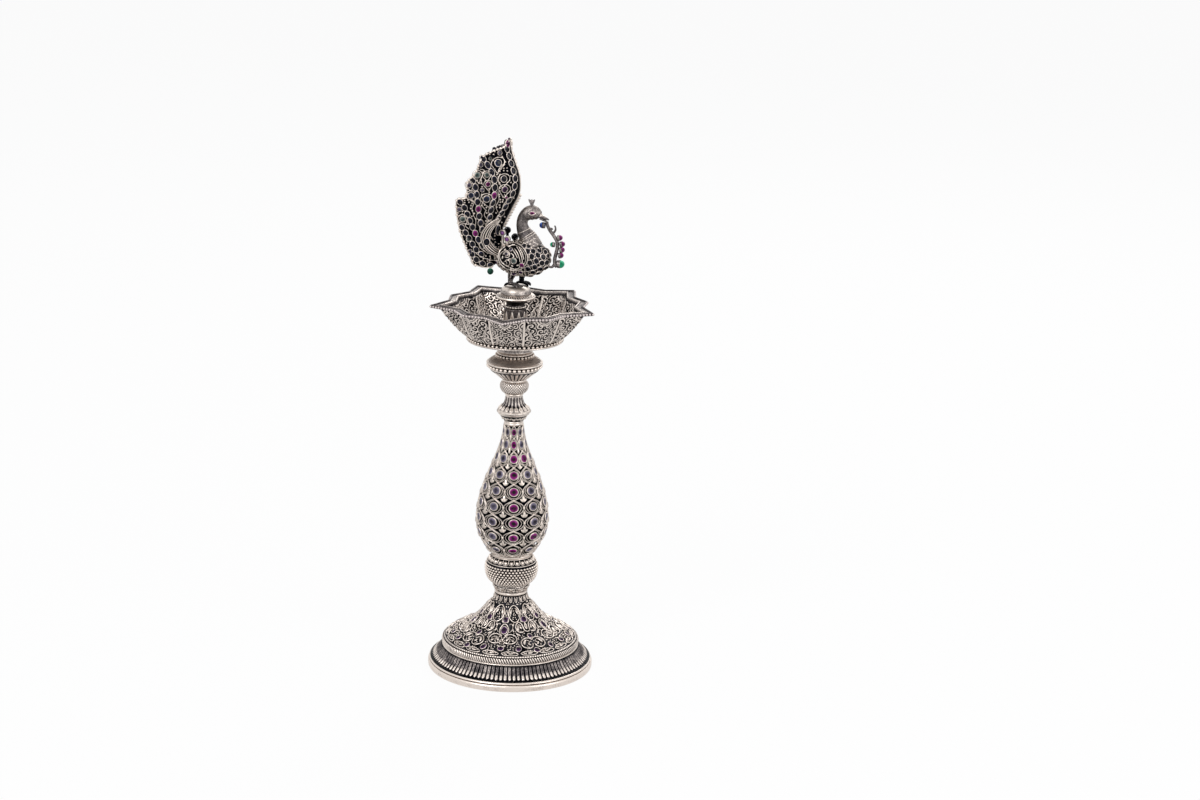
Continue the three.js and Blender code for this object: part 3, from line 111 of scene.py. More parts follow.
AIM = (0.0, 0.0, 0.16)
for name, place, size, power in (
    ("key", (-0.9, -1.3, 1.5), 0.9, 17),
    ("fill", (1.3, -1.0, 0.9), 1.0, 9),
    ("rim", (0.5, 1.2, 1.3), 0.9, 9),
):
    lamp_data = bpy.data.lights.new(name, "AREA")
    lamp_data.shape = "DISK"
    lamp_data.size = size
    lamp_data.energy = power
    lamp = bpy.data.objects.new(name, lamp_data)
    scene.collection.objects.link(lamp)
    lamp.location = place
    towards = [a - b for a, b in zip(AIM, place)]
    flat = math.hypot(towards[0], towards[1])
    lamp.rotation_euler = (math.atan2(flat, -towards[2]), 0, math.atan2(-towards[0], towards[1]))

CAMERA_BACK = 1.5355
CAMERA_HEIGHT = 0.5867
AIM_HEIGHT = 0.1649
ROLL = math.radians(0.93)
camera_data = bpy.data.cameras.new("camera")
camera = bpy.data.objects.new("camera", camera_data)
scene.collection.objects.link(camera)
camera_data.lens = 81
camera_data.sensor_width = 36
camera_data.shift_x = 0.0716
camera_data.clip_start = 0.05
camera.location = (0, -CAMERA_BACK, CAMERA_HEIGHT)
down = math.atan2(CAMERA_HEIGHT - AIM_HEIGHT, CAMERA_BACK)
pitch = Matrix.Rotation(math.pi / 2 - down, 3, "X")
camera.rotation_euler = (pitch @ Matrix.Rotation(ROLL, 3, "Z")).to_euler()
scene.camera = camera


# Foot ring: a turned silver ring with a plain bright edge, a black groove and a thin ridge.
# The silver of the whole lamp is oxidised: black where it lies deep, and rubbed bright where it
# stands out. Its colour also carries painted shade in the hollows and painted highlights on
# the rises.
def attribute(tree, name):
    """A value that each vertex of the piece carries."""
    return add(tree, "ShaderNodeAttribute", attribute_name=name).outputs["Fac"]


def noise(tree, scale, detail=3.0):
    """Clouds of 0.3 to 0.7 in the piece's own metres, scale of them to a metre."""
    place = add(tree, "ShaderNodeTexCoord").outputs["Object"]
    return add(tree, "ShaderNodeTexNoise", Vector=place, Scale=scale, Detail=detail).outputs["Fac"]


def spread(tree, value, low, high, start=0.0, end=1.0):
    """Maps start..end of a value onto low..high, held at both ends."""
    return add(tree, "ShaderNodeMapRange", Value=value, From_Min=start, From_Max=end, To_Min=low,
               To_Max=high).outputs["Result"]


def sum_of(tree, a, b):
    """a + b as a shader value."""
    return add(tree, "ShaderNodeMath", operation="ADD", i0=a, i1=b).outputs[0]


def ramp(tree, value, *stops):
    """A colour ramp over (position, hex colour) stops."""
    node = add(tree, "ShaderNodeValToRGB", Fac=value)
    elements = node.color_ramp.elements
    while len(elements) < len(stops):
        elements.new(0.5)
    for element, (position, code) in zip(elements, stops):
        element.position = position
        element.color = rgb(code)
    return node.outputs["Color"]


def silver_finish(name, black, middle, bright, rough, level=None):
    """Silver whose colour runs with the shade attribute from black oxide and painted shade to rubbed
    metal and painted highlights, or stays about one level."""
    material = bpy.data.materials.new(name)
    material.use_nodes = True
    tree = material.node_tree
    shader = tree.nodes["Principled BSDF"]
    shader.inputs["Metallic"].default_value = 1.0
    cloud = spread(tree, noise(tree, 160.0), -0.12, 0.12, 0.3, 0.7)
    speck = spread(tree, noise(tree, 1500.0, 1.0), -0.1, 0.1, 0.3, 0.7)
    base = attribute(tree, "shade") if level is None else level
    tone = sum_of(tree, sum_of(tree, cloud, base), speck)
    colour = ramp(tree, tone, (0.08, black), (0.4, middle), (0.76, bright))
    tree.links.new(colour, shader.inputs["Base Color"])
    tree.links.new(spread(tree, tone, rough + 0.2, rough), shader.inputs["Roughness"])
    bumps = add(tree, "ShaderNodeBump", Strength=0.1, Distance=0.0002, Height=noise(tree, 700.0))
    tree.links.new(bumps.outputs["Normal"], shader.inputs["Normal"])
    return material


# The lamp's silver: oxide and wear, with painted shade and painted highlights from the shade attribute.
silver = silver_finish("oxidised_silver_painted_shade", "08090d", "645e5e", "dfd4cb", 0.33)
MM = 0.001
stone_slots = {}  # the slot of each stone's material; all other pieces are silver


def join(parts):
    """One part from several. A part is (points, faces, shade): faces is a list of arrays of quads
    or triangles, and shade is 1 where a point is rubbed bright and 0 where it stays black: oxide
    and wear, with painted shade and painted highlights."""
    points, faces, shades, start = [], [], [], 0
    for part_points, part_faces, shade in parts:
        points.append(part_points)
        shades.append(shade)
        faces += [f + start for f in part_faces]
        start += len(part_points)
    return np.concatenate(points), faces, np.concatenate(shades)


def piece(name, parts, body, stands_for=(), material=silver, slot=None):
    """One mesh from parts in millimetres, with its finish, body and the solids it stands for.
    Metal is shaded smooth, and stones show their cut faces."""
    points, faces, shade = join(parts)
    slot = slot or stone_slots.get(material.name, "silver")
    mesh = bpy.data.meshes.new(name)
    mesh.vertices.add(len(points))
    mesh.vertices.foreach_set("co", (points * MM).astype(np.float32).ravel())
    corners = np.concatenate([f.ravel() for f in faces]).astype(np.int32)
    lengths = np.concatenate([np.full(len(f), f.shape[1]) for f in faces])
    starts = np.concatenate([[0], np.cumsum(lengths)[:-1]]).astype(np.int32)
    mesh.loops.add(len(corners))
    mesh.loops.foreach_set("vertex_index", corners)
    mesh.polygons.add(len(starts))
    mesh.polygons.foreach_set("loop_start", starts)
    mesh.polygons.foreach_set("use_smooth", np.full(len(starts), slot == "silver"))
    mesh.update(calc_edges=True)
    mesh.validate()
    tone = mesh.attributes.new("shade", "FLOAT", "POINT")
    tone.data.foreach_set("value", np.clip(shade, 0, 1).astype(np.float32))
    mesh.materials.append(material)
    made = bpy.data.objects.new(name, mesh)
    scene.collection.objects.link(made)
    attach(made, body)
    if stands_for:
        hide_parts(*stands_for)


def unit(v):
    """Each vector over its own length."""
    return v / np.maximum(np.linalg.norm(v, axis=-1, keepdims=True), 1e-12)


def grid_faces(rows, columns, wrap_rows=False, wrap_columns=True):
    """Quads of a grid of points stored row by row."""
    i = np.arange(rows if wrap_rows else rows - 1)[:, None]
    j = np.arange(columns if wrap_columns else columns - 1)[None, :]
    below, above = i * columns, ((i + 1) % rows) * columns
    right = (j + 1) % columns
    return np.stack([below + j, below + right, above + right, above + j], -1).reshape(-1, 4)


def cavity(points, normals, depth, wrap_rows):
    """Shade of a grid: 0.62 + h / depth, where h is how far a point stands above the mean of its
    eight neighbours one and three steps away. It is painted shade in hollows and painted highlights
    on rises, over the oxide and wear that the silver has there."""
    around = np.zeros(points.shape)
    for k in (1, 3):
        rows = np.roll(points, k, 0) + np.roll(points, -k, 0)
        if not wrap_rows:
            rows[:k] = 2 * points[:k]
            rows[-k:] = 2 * points[-k:]
        around += rows + np.roll(points, k, 1) + np.roll(points, -k, 1)
    around /= 8
    return 0.62 + ((points - around) * normals).sum(-1) / depth


def rounded(corners):
    """A line through (radius, height, rounding) corners, each cut off by its rounding and
    bridged by a parabola."""
    corners = [(*c, 0.0)[:3] for c in corners]
    line = []
    for k, (r, z, cut) in enumerate(corners):
        here = np.array([r, z])
        before = np.array(corners[k - 1][:2]) if k else here
        after = np.array(corners[k + 1][:2]) if k < len(corners) - 1 else here
        if cut == 0 or k in (0, len(corners) - 1):
            line.append(here)
            continue
        a = here + unit(before - here) * min(cut, 0.49 * np.linalg.norm(before - here))
        b = here + unit(after - here) * min(cut, 0.49 * np.linalg.norm(after - here))
        for t in np.linspace(0, 1, 5):
            line.append((1 - t) ** 2 * a + 2 * t * (1 - t) * here + t * t * b)
    return np.array(line)


def dense(line, gap):
    """The same line with points no further apart than a gap."""
    out = [line[:1]]
    for a, b in zip(line[:-1], line[1:]):
        count = max(int(math.ceil(np.linalg.norm(b - a) / gap)), 1)
        out.append(a + (b - a) * (np.arange(1, count + 1) / count)[:, None])
    return np.concatenate(out)


def revolve(line, sides, relief=None, depth=0.5, closed=True, shade=None):
    """Surface of revolution of a (radius, height) line. Point(a, s) = (r cos a, r sin a, z), moved
    along the line's own normal by relief(a, r, z). A closed line joins its end to its start;
    an open one that ends on the axis is closed there by a pole."""
    line = np.asarray(line, float)
    angle = np.arange(sides) * 2 * math.pi / sides
    if closed:
        slope = np.roll(line, -1, 0) - np.roll(line, 1, 0)
    else:
        slope = np.gradient(line, axis=0)
    outward = unit(np.stack([slope[:, 1], -slope[:, 0]], -1))
    area = 0.5 * np.sum(line[:, 0] * np.roll(line[:, 1], -1) - np.roll(line[:, 0], -1) * line[:, 1])
    if area < 0:
        outward = -outward
    r, z = line[:, :1], line[:, 1:]
    rows = len(line)
    even_row = np.zeros((rows, sides))
    push = 0 if relief is None else relief(angle[None, :], r, z)
    radius = r + push * outward[:, :1] + even_row
    height = z + push * outward[:, 1:] + even_row
    cos, sin = np.cos(angle), np.sin(angle)
    points = np.stack([radius * cos, radius * sin, height], -1)
    normals = np.stack([outward[:, :1] * cos, outward[:, :1] * sin, outward[:, 1:] + even_row], -1)
    tone = cavity(points, normals, depth, closed) if shade is None else shade(push, points)
    quads = grid_faces(rows, sides, wrap_rows=closed)
    if area < 0:
        quads = quads[:, ::-1]
    faces = [quads]
    points = points.reshape(-1, 3)
    tone = (tone + even_row).ravel()
    if not closed:
        for row in (0, rows - 1):
            ring = row * sides + np.arange(sides)
            pole = len(points)
            points = np.vstack([points, [[0, 0, line[row, 1]]]])
            tone = np.append(tone, tone[ring].mean())
            fan = np.stack([ring, np.full(sides, pole), np.roll(ring, -1)], -1)
            upright = (row == 0) != (area < 0)
            faces.append(fan if upright else fan[:, ::-1])
    return points, faces, tone


edge = rounded([(46.1, 5.4), (46.1, 1.5), (47.7, 1.5), (47.7, 0.0), (49.3, 0.0, 0.5), (49.5, 1.2, 0.6),
                (49.5, 3.2, 0.6), (48.7, 3.9, 0.3), (48.65, 3.5, 0.1), (48.3, 3.5, 0.1),
                (48.3, 4.0, 0.2), (49.0, 4.6, 0.4), (48.2, 5.4)])
piece("foot_edge", [revolve(dense(edge, 0.4), 240, depth=0.3)], "stand", ("foot_ring",))


# Fluted skirt: 108 round-ended tongues with a sunk line in each, on a hollow cove.
# One silver sheet, chased over a former and slipped on the foot ring.
def spline(points, count):
    """Smooth curve through points: cubic pieces whose slopes come from the neighbours."""
    p = np.asarray(points, float)
    p = np.vstack([2 * p[0] - p[1], p, 2 * p[-1] - p[-2]])
    s = np.linspace(0, len(p) - 3, count)
    i = np.minimum(s.astype(int), len(p) - 4)
    t = (s - i)[:, None]
    a, b, c, d = p[i], p[i + 1], p[i + 2], p[i + 3]
    return 0.5 * (2 * b + (c - a) * t + (2 * a - 5 * b + 4 * c - d) * t**2
                  + (3 * b - a - 3 * c + d) * t**3)


def wave(x):
    """Distance of x from its nearest whole number, 0 to 0.5."""
    return np.abs(x - np.round(x))


def step(x, low, high):
    """Smooth rise from 0 at low to 1 at high."""
    t = np.clip((x - low) / (high - low), 0, 1)
    return t * t * (3 - 2 * t)


def band(x, low, high, soft):
    """1 between low and high, with soft ends."""
    return step(x, low - soft, low) * (1 - step(x, high, high + soft))


TONGUES = 108
SKIRT_FOOT, SKIRT_RISE = 5.4, 7.8
cove = spline([(48.2, 5.4), (45.6, 6.9), (43.3, 9.2), (41.7, 11.6), (41.0, 13.2)], 40)
cove = np.vstack([[(46.4, 5.4)], cove, [(39.3, 13.2)]])


def tongues(a, r, z):
    """Half-round strips, wave(108 a / 2 pi) from their middles, with round lower ends."""
    t = (z - SKIRT_FOOT) / SKIRT_RISE
    x = wave(a * TONGUES / (2 * math.pi))
    away = np.hypot(x, np.maximum(0.75 - 4.1 * t, 0)) / 0.36
    body = np.sqrt(np.maximum(1 - away**2, 0))
    line = np.exp(-((x / 0.1) ** 2)) * step(t, 0.3, 0.45)
    return 0.6 * body * (1 - step(t, 0.85, 1.0)) * (1 - 0.7 * line) * band(r, 40.5, 60, 0.1)


def tongue_shade(push, points):
    """Brighter with the relief, and darker over the upper half."""
    upper = step((points[..., 2] - SKIRT_FOOT) / SKIRT_RISE, 0.2, 0.45)
    return (0.02 + push / 0.6 * 0.95 + 0.4 * (push > 0.52)) * (1 - 0.42 * upper)


piece("tongued_skirt", [revolve(cove, TONGUES * 10, tongues, shade=tongue_shade)], "stand",
      ("fluted_skirt",))

# Rope band: a silver roll that covers the joint of skirt and dome. Oblique strands are chased
# between a smooth roll below and a row of small knobs above.
STRANDS = 165
roll = rounded([(38.5, 18.5), (38.5, 13.6), (39.6, 13.2), (41.0, 13.2, 0.3), (41.2, 13.7, 0.3),
                (40.5, 14.2, 0.2), (41.0, 15.7, 1.0), (40.3, 17.4, 0.6), (39.7, 17.5, 0.1),
                (39.8, 18.0, 0.4), (39.2, 18.5, 0.3)])


def strands(a, r, z):
    """Round strands, wave(165 a / 2 pi + slant) from their middles, between z 14.3 and 17.3, and
    small knobs above them."""
    x = wave(a * STRANDS / (2 * math.pi) + (z - 15.9) * 0.36)
    knobs = 0.22 * np.sqrt(np.maximum(1 - (wave(a * STRANDS / (2 * math.pi)) / 0.42) ** 2, 0))
    ropes = 0.5 * np.sqrt(np.maximum(1 - (x / 0.36) ** 2, 0)) * band(z, 14.5, 17.1, 0.25)
    return (ropes + knobs * band(z, 17.7, 18.3, 0.15)) * (r > 39.2)


def strand_shade(push, points):
    """Bright with the relief on the strands and knobs, and 0.8 on the plain rolls."""
    height = points[..., 2]
    plain = np.where(height > 17.6, 0.2 + push * 4, 0.8)
    return np.where(band(height, 14.2, 17.55, 0.1) > 0.5, push / 0.5, plain)


piece("rope_roll", [revolve(dense(roll, 0.22), STRANDS * 7, strands, shade=strand_shade)], "stand",
      ("rope_band",))

# Dome of the foot: raised from silver sheet, its ground chased black. Scrolls, leaves and
# bezels are soldered on, and the bezels hold violet stones.
deep_silver = silver_finish("blackened_silver", "07080c", "47464b", "beb4b1", 0.38)


def stone_finish(name, slot, deep, middle, bright):
    """Polished stone, set low in its bezel: dark in the middle and bright at the girdle, painted light
    that stands for the light the cut stone bends and reflects. Its slot is noted for its pieces."""
    material = bpy.data.materials.new(name)
    material.use_nodes = True
    tree = material.node_tree
    shader = tree.nodes["Principled BSDF"]
    cloud = spread(tree, noise(tree, 500.0), -0.22, 0.22, 0.3, 0.7)
    tone = sum_of(tree, attribute(tree, "shade"), cloud)
    colour = ramp(tree, tone, (0.0, deep), (0.45, middle), (1.0, bright))
    tree.links.new(colour, shader.inputs["Base Color"])
    shader.inputs["Roughness"].default_value = 0.12
    shader.inputs["Specular IOR Level"].default_value = 0.16
    shader.inputs["Coat Weight"].default_value = 0.06
    shader.inputs["Coat Roughness"].default_value = 0.05
    stone_slots[material.name] = slot
    return material


amethyst = stone_finish("amethyst_stone", "ruby", "08020c", "3a1945", "8a5a9a")
FRONT = -math.pi / 2


def facing_out(points, faces):
    """The faces, turned over if the volume that they close comes out negative."""
    volume = 0.0
    for f in faces:
        p = points[f]
        for k in range(1, f.shape[1] - 1):
            volume += (p[:, 0] * np.cross(p[:, k], p[:, k + 1])).sum()
    return faces if volume > 0 else [f[:, ::-1] for f in faces]


def tube_faces(rows, sides):
    """Quads of a tube of rings, with a flat polygon at each end."""
    ring = np.arange(sides)[None]
    return [grid_faces(rows, sides), ring[:, ::-1], (rows - 1) * sides + ring]


def rings_of(profile, angle):
    """Points (r cos a, r sin a, z) of a (radius, height) profile, ring by ring."""
    r, z = np.asarray(profile, float).T[..., None]
    return np.stack([r * np.cos(angle), r * np.sin(angle), z + 0 * angle], -1).reshape(-1, 3)


def round_form(profile, sides, shades):
    """Rings of a (radius, height) profile, closed by flat ends."""
    points = rings_of(profile, (np.arange(sides) + 0.5) * 2 * math.pi / sides)
    faces = facing_out(points, tube_faces(len(profile), sides))
    return points, faces, np.repeat(np.asarray(shades, float), sides)


# Small forms stand in their own unit frame: x along, y across and z up, with their feet a
# little below z = 0. Their shades run from black feet to bright tops: oxide and wear, with
# painted shade at the feet and painted highlights on top.
grain = round_form([(0.9, -0.4), (1, 0.1), (0.8, 0.62), (0.3, 0.95)], 7, [0.1, 0.45, 1, 1])
# A gem's shades are painted light: a bright girdle and a dark middle stand for the light that a cut
# stone bends and reflects.
gem = round_form([(0.95, -0.4), (1, 0.15), (0.62, 0.85), (0.3, 0.9)], 10, [0.7, 1, 0.3, 0.0])


def bezel_form(sides):
    """Collar round a stone: a closed ring whose section is 1.3 high and 0.18 thick, less at its
    rounded top."""
    section = [(0.84, -0.5), (1.02, -0.5), (1.0, 0.55), (0.94, 0.8), (0.87, 0.8), (0.83, 0.55)]
    points = rings_of(section, np.arange(sides) * 2 * math.pi / sides)
    faces = [grid_faces(len(section), sides, wrap_rows=True)]
    shade = np.repeat([0.1, 0.1, 0.75, 1, 1, 0.3], sides)
    return points, facing_out(points, faces), shade


bezel = bezel_form(18)
LEAF_ROWS = 8


def leaf_form(bend):
    """Almond leaf 1 long and 1 wide: a domed blade with a sunk vein. Its middle line is bent
    sideways by bend * (0.25 - x^2) * 4."""
    s = np.linspace(0.02, 0.98, LEAF_ROWS)
    half = 0.5 * np.sin(math.pi * s**0.8) ** 0.8
    across = np.array([-1, -0.8, -0.4, 0, 0.4, 0.8, 1])
    lift = np.array([-0.3, 0.45, 1, 0.46, 1, 0.45, -0.3])
    shade = np.array([0.1, 0.65, 1, 0.5, 1, 0.65, 0.1])
    x = np.repeat((s - 0.5)[:, None], 7, 1)
    y = half[:, None] * across + 4 * bend * (0.25 - x * x)
    z = lift * np.minimum(half * 3.2, 1)[:, None]
    points = np.stack([x, y, z], -1).reshape(-1, 3)
    return points, facing_out(points, tube_faces(LEAF_ROWS, 7)), np.tile(shade, LEAF_ROWS)


leaf, curled_leaf = leaf_form(0.0), leaf_form(0.22)


def scatter(form, centre, normal, along, size):
    """Copies of a form at centres, z to the normals, x along a direction, scaled by sizes
    (along, across, up)."""
    points, faces, shade = form
    centre = np.atleast_2d(centre)
    normal = unit(np.broadcast_to(normal, centre.shape))
    along = np.broadcast_to(along, centre.shape)
    along = unit(along - (along * normal).sum(-1, keepdims=True) * normal)
    across = np.cross(normal, along)
    size = np.broadcast_to(size, centre.shape)
    frames = np.stack([along * size[:, :1], across * size[:, 1:2], normal * size[:, 2:]], 1)
    moved = centre[:, None] + np.einsum("pi,kij->kpj", points, frames)
    start = np.arange(len(centre))[:, None, None] * len(points)
    return (moved.reshape(-1, 3), [(f[None] + start).reshape(-1, f.shape[1]) for f in faces],
            np.tile(shade, len(centre)))


WIRE_SECTION = np.array([(-0.5, -0.3), (-0.4, 0.5), (0, 1.0), (0.4, 0.5), (0.5, -0.3)])
# Shade round a wire's section: black at its feet, oxide with painted shade, and bright on top, wear with
# a painted highlight.
WIRE_SHADE = np.array([0.05, 0.6, 1.0, 0.6, 0.05])


def wire(path, normals, width, height, closed=False):
    """Half-round wire along a path of points: its section stands on the surface's normals."""
    n = len(path)
    tangent = np.roll(path, -1, 0) - np.roll(path, 1, 0) if closed else np.gradient(path, axis=0)
    across = unit(np.cross(normals, tangent))
    side = across[:, None] * (WIRE_SECTION[:, :1] * width)[None]
    up = normals[:, None] * (WIRE_SECTION[:, 1:] * height)[None]
    points = (path[:, None] + side + up).reshape(-1, 3)
    faces = [grid_faces(n, 5, wrap_rows=True)] if closed else tube_faces(n, 5)
    return points, [f[:, ::-1] for f in faces], np.tile(WIRE_SHADE, n)


NUDGE = 1e-3


def chart(place, u, v):
    """Points of a surface place(u, v), with its unit normals, du x dv from small steps."""
    du = place(u + NUDGE, v) - place(u - NUDGE, v)
    dv = place(u, v + NUDGE) - place(u, v - NUDGE)
    return place(u, v), unit(np.cross(du, dv))


def repeats_of(count, phase, mirrored=False):
    """Shifts by which a motif repeats round a circle from a phase, with its mirror images if
    asked."""
    shifts = phase + np.arange(count) * 2 * math.pi / count
    return [(s, m) for s in shifts for m in ((1.0, -1.0) if mirrored else (1.0,))]


def curves(lines, count=24):
    """A smooth curve through each list of points."""
    return [spline(line, count) for line in lines]


def drawn(place, paths, width, height, repeats=((0.0, 1.0),)):
    """Wires laid on a surface along (u, v) paths. A repeat shifts u and, with -1, mirrors it."""
    parts = []
    for path in paths:
        for shift, mirror in repeats:
            points, normals = chart(place, shift + mirror * path[:, 0], path[:, 1])
            parts.append(wire(points, normals, width, height))
    return parts


def placed(place, form, spots, repeats=((0.0, 1.0),)):
    """Copies of a form on a surface at spots (u, v, turn, length, width, height): turn is the
    angle of its length from the u direction, in degrees."""
    spots = np.atleast_2d(np.asarray(spots, float))
    mirrored = (form[0] * (1, -1, 1), [f[:, ::-1] for f in form[1]], form[2])
    parts = []
    for shift, mirror in repeats:
        points, normals = chart(place, shift + mirror * spots[:, 0], spots[:, 1])
        du = unit(place(shift + mirror * spots[:, 0] + NUDGE, spots[:, 1]) - points)
        dv = np.cross(normals, du)
        turn = np.radians(spots[:, 2:3])
        along = mirror * np.cos(turn) * du + np.sin(turn) * dv
        used = form if mirror > 0 else mirrored
        parts.append(scatter(used, points, normals, along, spots[:, 3:6]))
    return parts


def set_stone(place, spots, repeats=((0.0, 1.0),), collar=0.35, rise=0.7):
    """Bezels and stones at spots (u, v, turn, half length, half width) of the bezels' outsides.
    Returns both lists of parts."""
    spots = np.atleast_2d(np.asarray(spots, float))
    tall = np.full((len(spots), 1), rise)
    bezels = placed(place, bezel, np.hstack([spots, tall]), repeats)
    inner = spots.copy()
    inner[:, 3:5] -= collar
    return bezels, placed(place, gem, np.hstack([inner, tall * 1.15]), repeats)


def fillers(scale, u_range, v_range, gap, clear, keep_off, seed):
    """Seeded (u, v) spots about a gap apart, in millimetres, and clear of the points keep_off,
    where scale(u, v) is the millimetres to one unit."""
    random = np.random.default_rng(seed)
    spots, v = [], v_range[0]
    while v < v_range[1]:
        mm = float(scale(0.5 * sum(u_range), v))
        count = max(int((u_range[1] - u_range[0]) * mm / gap), 1)
        u = u_range[0] + (np.arange(count) + random.uniform(0.2, 0.8, count)) * (
            (u_range[1] - u_range[0]) / count)
        spots.append(np.stack([u, v + random.uniform(-0.2, 0.2, count) * gap / mm], -1))
        v += 0.9 * gap / mm
    spots = np.concatenate(spots)
    mm = np.array([float(scale(*s)) for s in spots])
    far = np.linalg.norm(spots[:, None] - keep_off[None], axis=-1).min(1) * mm > clear
    return spots[far]


def even(tone):
    """The same shade all over."""
    return lambda *values: tone + 0 * values[0]


DOME_FOOT, DOME_TOP, DOME_BORE, DOME_SHEET = 18.5, 45.4, 9.2, 1.4
FLARE = 29.5
flare = spline([(0, 1), (0.074, 0.88), (0.17, 0.73), (0.28, 0.535), (0.4, 0.4), (0.52, 0.295),
                (0.66, 0.19), (0.84, 0.05), (1, 0)], 1500)
dome_line = np.stack([DOME_BORE + FLARE * np.maximum(flare[:, 1], 0),
                      DOME_FOOT + (DOME_TOP - DOME_FOOT) * flare[:, 0]], -1)
mean_radius = 0.5 * (dome_line[1:, 0] + dome_line[:-1, 0])
gaps = np.linalg.norm(np.diff(dome_line, axis=0), axis=1) / mean_radius
dome_reach = np.concatenate([[0], np.cumsum(gaps)])


def on_dome(u, v):
    """Point at azimuth u and reach v up the dome, where a step of v is as long as one of u."""
    r = np.interp(v, dome_reach, dome_line[:, 0])
    return np.stack([r * np.cos(u), r * np.sin(u), np.interp(v, dome_reach, dome_line[:, 1])], -1)


def dome_scale(u, v):
    """Millimetres to one unit of u or v: the radius at v."""
    return np.interp(v, dome_reach, dome_line[:, 0])


# The pattern repeats over two columns of 36 degrees: one has a pear stone with a pair of hearts
# below it, the next a small stone with one pair above and one below.
DOME_COLUMN = math.radians(36)
half = 0.5 * DOME_COLUMN
START = FRONT - math.radians(9.5)
dome_turns = repeats_of(5, START, mirrored=True)
each_half = repeats_of(20, START + half / 2)
main_lines = curves([
    [(0.0, 0.35), (0.03, 0.44), (0.1, 0.52), (0.19, 0.54), (0.28, 0.49), (0.31, 0.4), (0.27, 0.31),
     (0.18, 0.265), (0.08, 0.28), (0.0, 0.35)],
    [(0.628, 0.6), (0.56, 0.64), (0.54, 0.74), (0.51, 0.86), (0.43, 0.93), (0.35, 0.87), (0.32, 0.76),
     (0.35, 0.65), (0.44, 0.59), (0.53, 0.62)],
    [(0.628, 0.35), (0.58, 0.4), (0.5, 0.41), (0.42, 0.36), (0.385, 0.28), (0.41, 0.19), (0.5, 0.145),
     (0.58, 0.17), (0.61, 0.25)],
    [(half, 0.92), (0.21, 0.98), (0.11, 1.14), (0.09, 1.34), (0.15, 1.54), (0.25, 1.66), (half, 1.69)],
    [(half, 0.92), (0.418, 0.98), (0.518, 1.14), (0.538, 1.34), (0.478, 1.54), (0.378, 1.66),
     (half, 1.69)],
    [(0.0, 0.87), (0.07, 0.82), (0.12, 0.7), (0.1, 0.57), (0.03, 0.49)],
    [(0.628, 0.9), (0.6, 0.78), (0.628, 0.68)],
], 22)
fine_lines = curves([
    [(0.08, 0.36), (0.12, 0.43), (0.2, 0.46), (0.25, 0.4), (0.21, 0.34)],
    [(0.4, 0.66), (0.37, 0.77), (0.42, 0.86), (0.47, 0.8), (0.46, 0.7)],
    [(0.45, 0.24), (0.44, 0.32), (0.51, 0.36), (0.56, 0.3), (0.52, 0.24)],
    [(0.17, 1.12), (0.15, 1.32), (0.21, 1.5), (0.27, 1.52)],
    [(0.46, 1.12), (0.48, 1.32), (0.42, 1.5), (0.36, 1.52)],
    [(0.0, 0.33), (0.0, 0.24)],
    [(0.14, 0.6), (0.2, 0.66), (0.24, 0.78), (0.2, 0.88), (0.14, 0.84)],
    [(0.0, 1.16), (0.045, 1.28), (0.0, 1.44)],
    [(0.628, 1.16), (0.583, 1.28), (0.628, 1.44)],
], 12)
big_leaves = [
    (0.13, 0.4, 55, 4.6, 1.9, 1.1), (0.22, 0.36, 115, 3.0, 1.3, 0.9), (0.4, 0.72, 80, 4.2, 1.7, 1.0),
    (0.47, 0.76, 110, 3.0, 1.2, 0.8), (0.47, 0.3, 60, 4.4, 1.8, 1.1), (0.54, 0.25, 120, 3.0, 1.3, 0.9),
    (0.2, 1.36, 75, 4.4, 1.5, 1.0), (0.44, 1.36, 105, 4.4, 1.5, 1.0), (0.35, 0.56, 140, 3.2, 1.4, 0.9),
    (0.25, 0.68, 100, 2.8, 1.2, 0.8), (0.05, 0.2, 30, 2.6, 1.2, 0.8), (0.33, 0.17, 90, 3.2, 1.3, 0.9),
    (0.1, 0.95, 60, 2.2, 1.0, 0.8), (0.53, 0.97, 120, 2.2, 1.0, 0.8), (0.27, 0.85, 80, 2.4, 1.0, 0.8),
]
kept = np.concatenate(main_lines + fine_lines + [np.array([b[:2] for b in big_leaves])])
# Stones (u, v, turn, half length, half width) of the two kinds of column.
rounds = [(0.0, 1.02, 0, 2.05, 2.05), (0.0, 0.66, 90, 2.8, 2.15), (0.0, 0.15, 0, 2.1, 1.95)]
others = [(0.0, 1.02, 0, 2.05, 2.05), (0.0, 0.47, 90, 1.9, 1.65), (0.0, 0.09, 0, 2.05, 1.95)]
turn = np.linspace(0, 2 * math.pi, 16)
circle = np.stack([np.cos(turn), np.sin(turn)], -1)
for place_u, spots in ((0.0, rounds), (DOME_COLUMN, others), (half, [(0.0, 0.14)])):
    for spot in spots:
        centre = np.array([place_u, spot[1]])
        kept = np.vstack([kept, centre + 2.3 / dome_scale(0, spot[1]) * circle, centre[None]])
small = fillers(dome_scale, (0.0, DOME_COLUMN), (0.06, 1.76), 1.55, 0.95, kept, seed=4)
random = np.random.default_rng(7)
number = len(small)
small_leaves = np.column_stack([small, random.uniform(20, 160, number), random.uniform(1.2, 1.7, number),
                                random.uniform(0.6, 0.8, number), np.full(number, 0.55)])
dome_parts = drawn(on_dome, main_lines, 0.8, 0.85, dome_turns)
dome_parts += drawn(on_dome, fine_lines, 0.45, 0.55, dome_turns)
dome_parts += placed(on_dome, curled_leaf, big_leaves, dome_turns)
dome_parts += placed(on_dome, leaf, small_leaves[::2], dome_turns)
dome_parts += placed(on_dome, grain, small_leaves[1::2] * (1, 1, 1, 0.33, 0.6, 1), dome_turns)
dome_stones = []
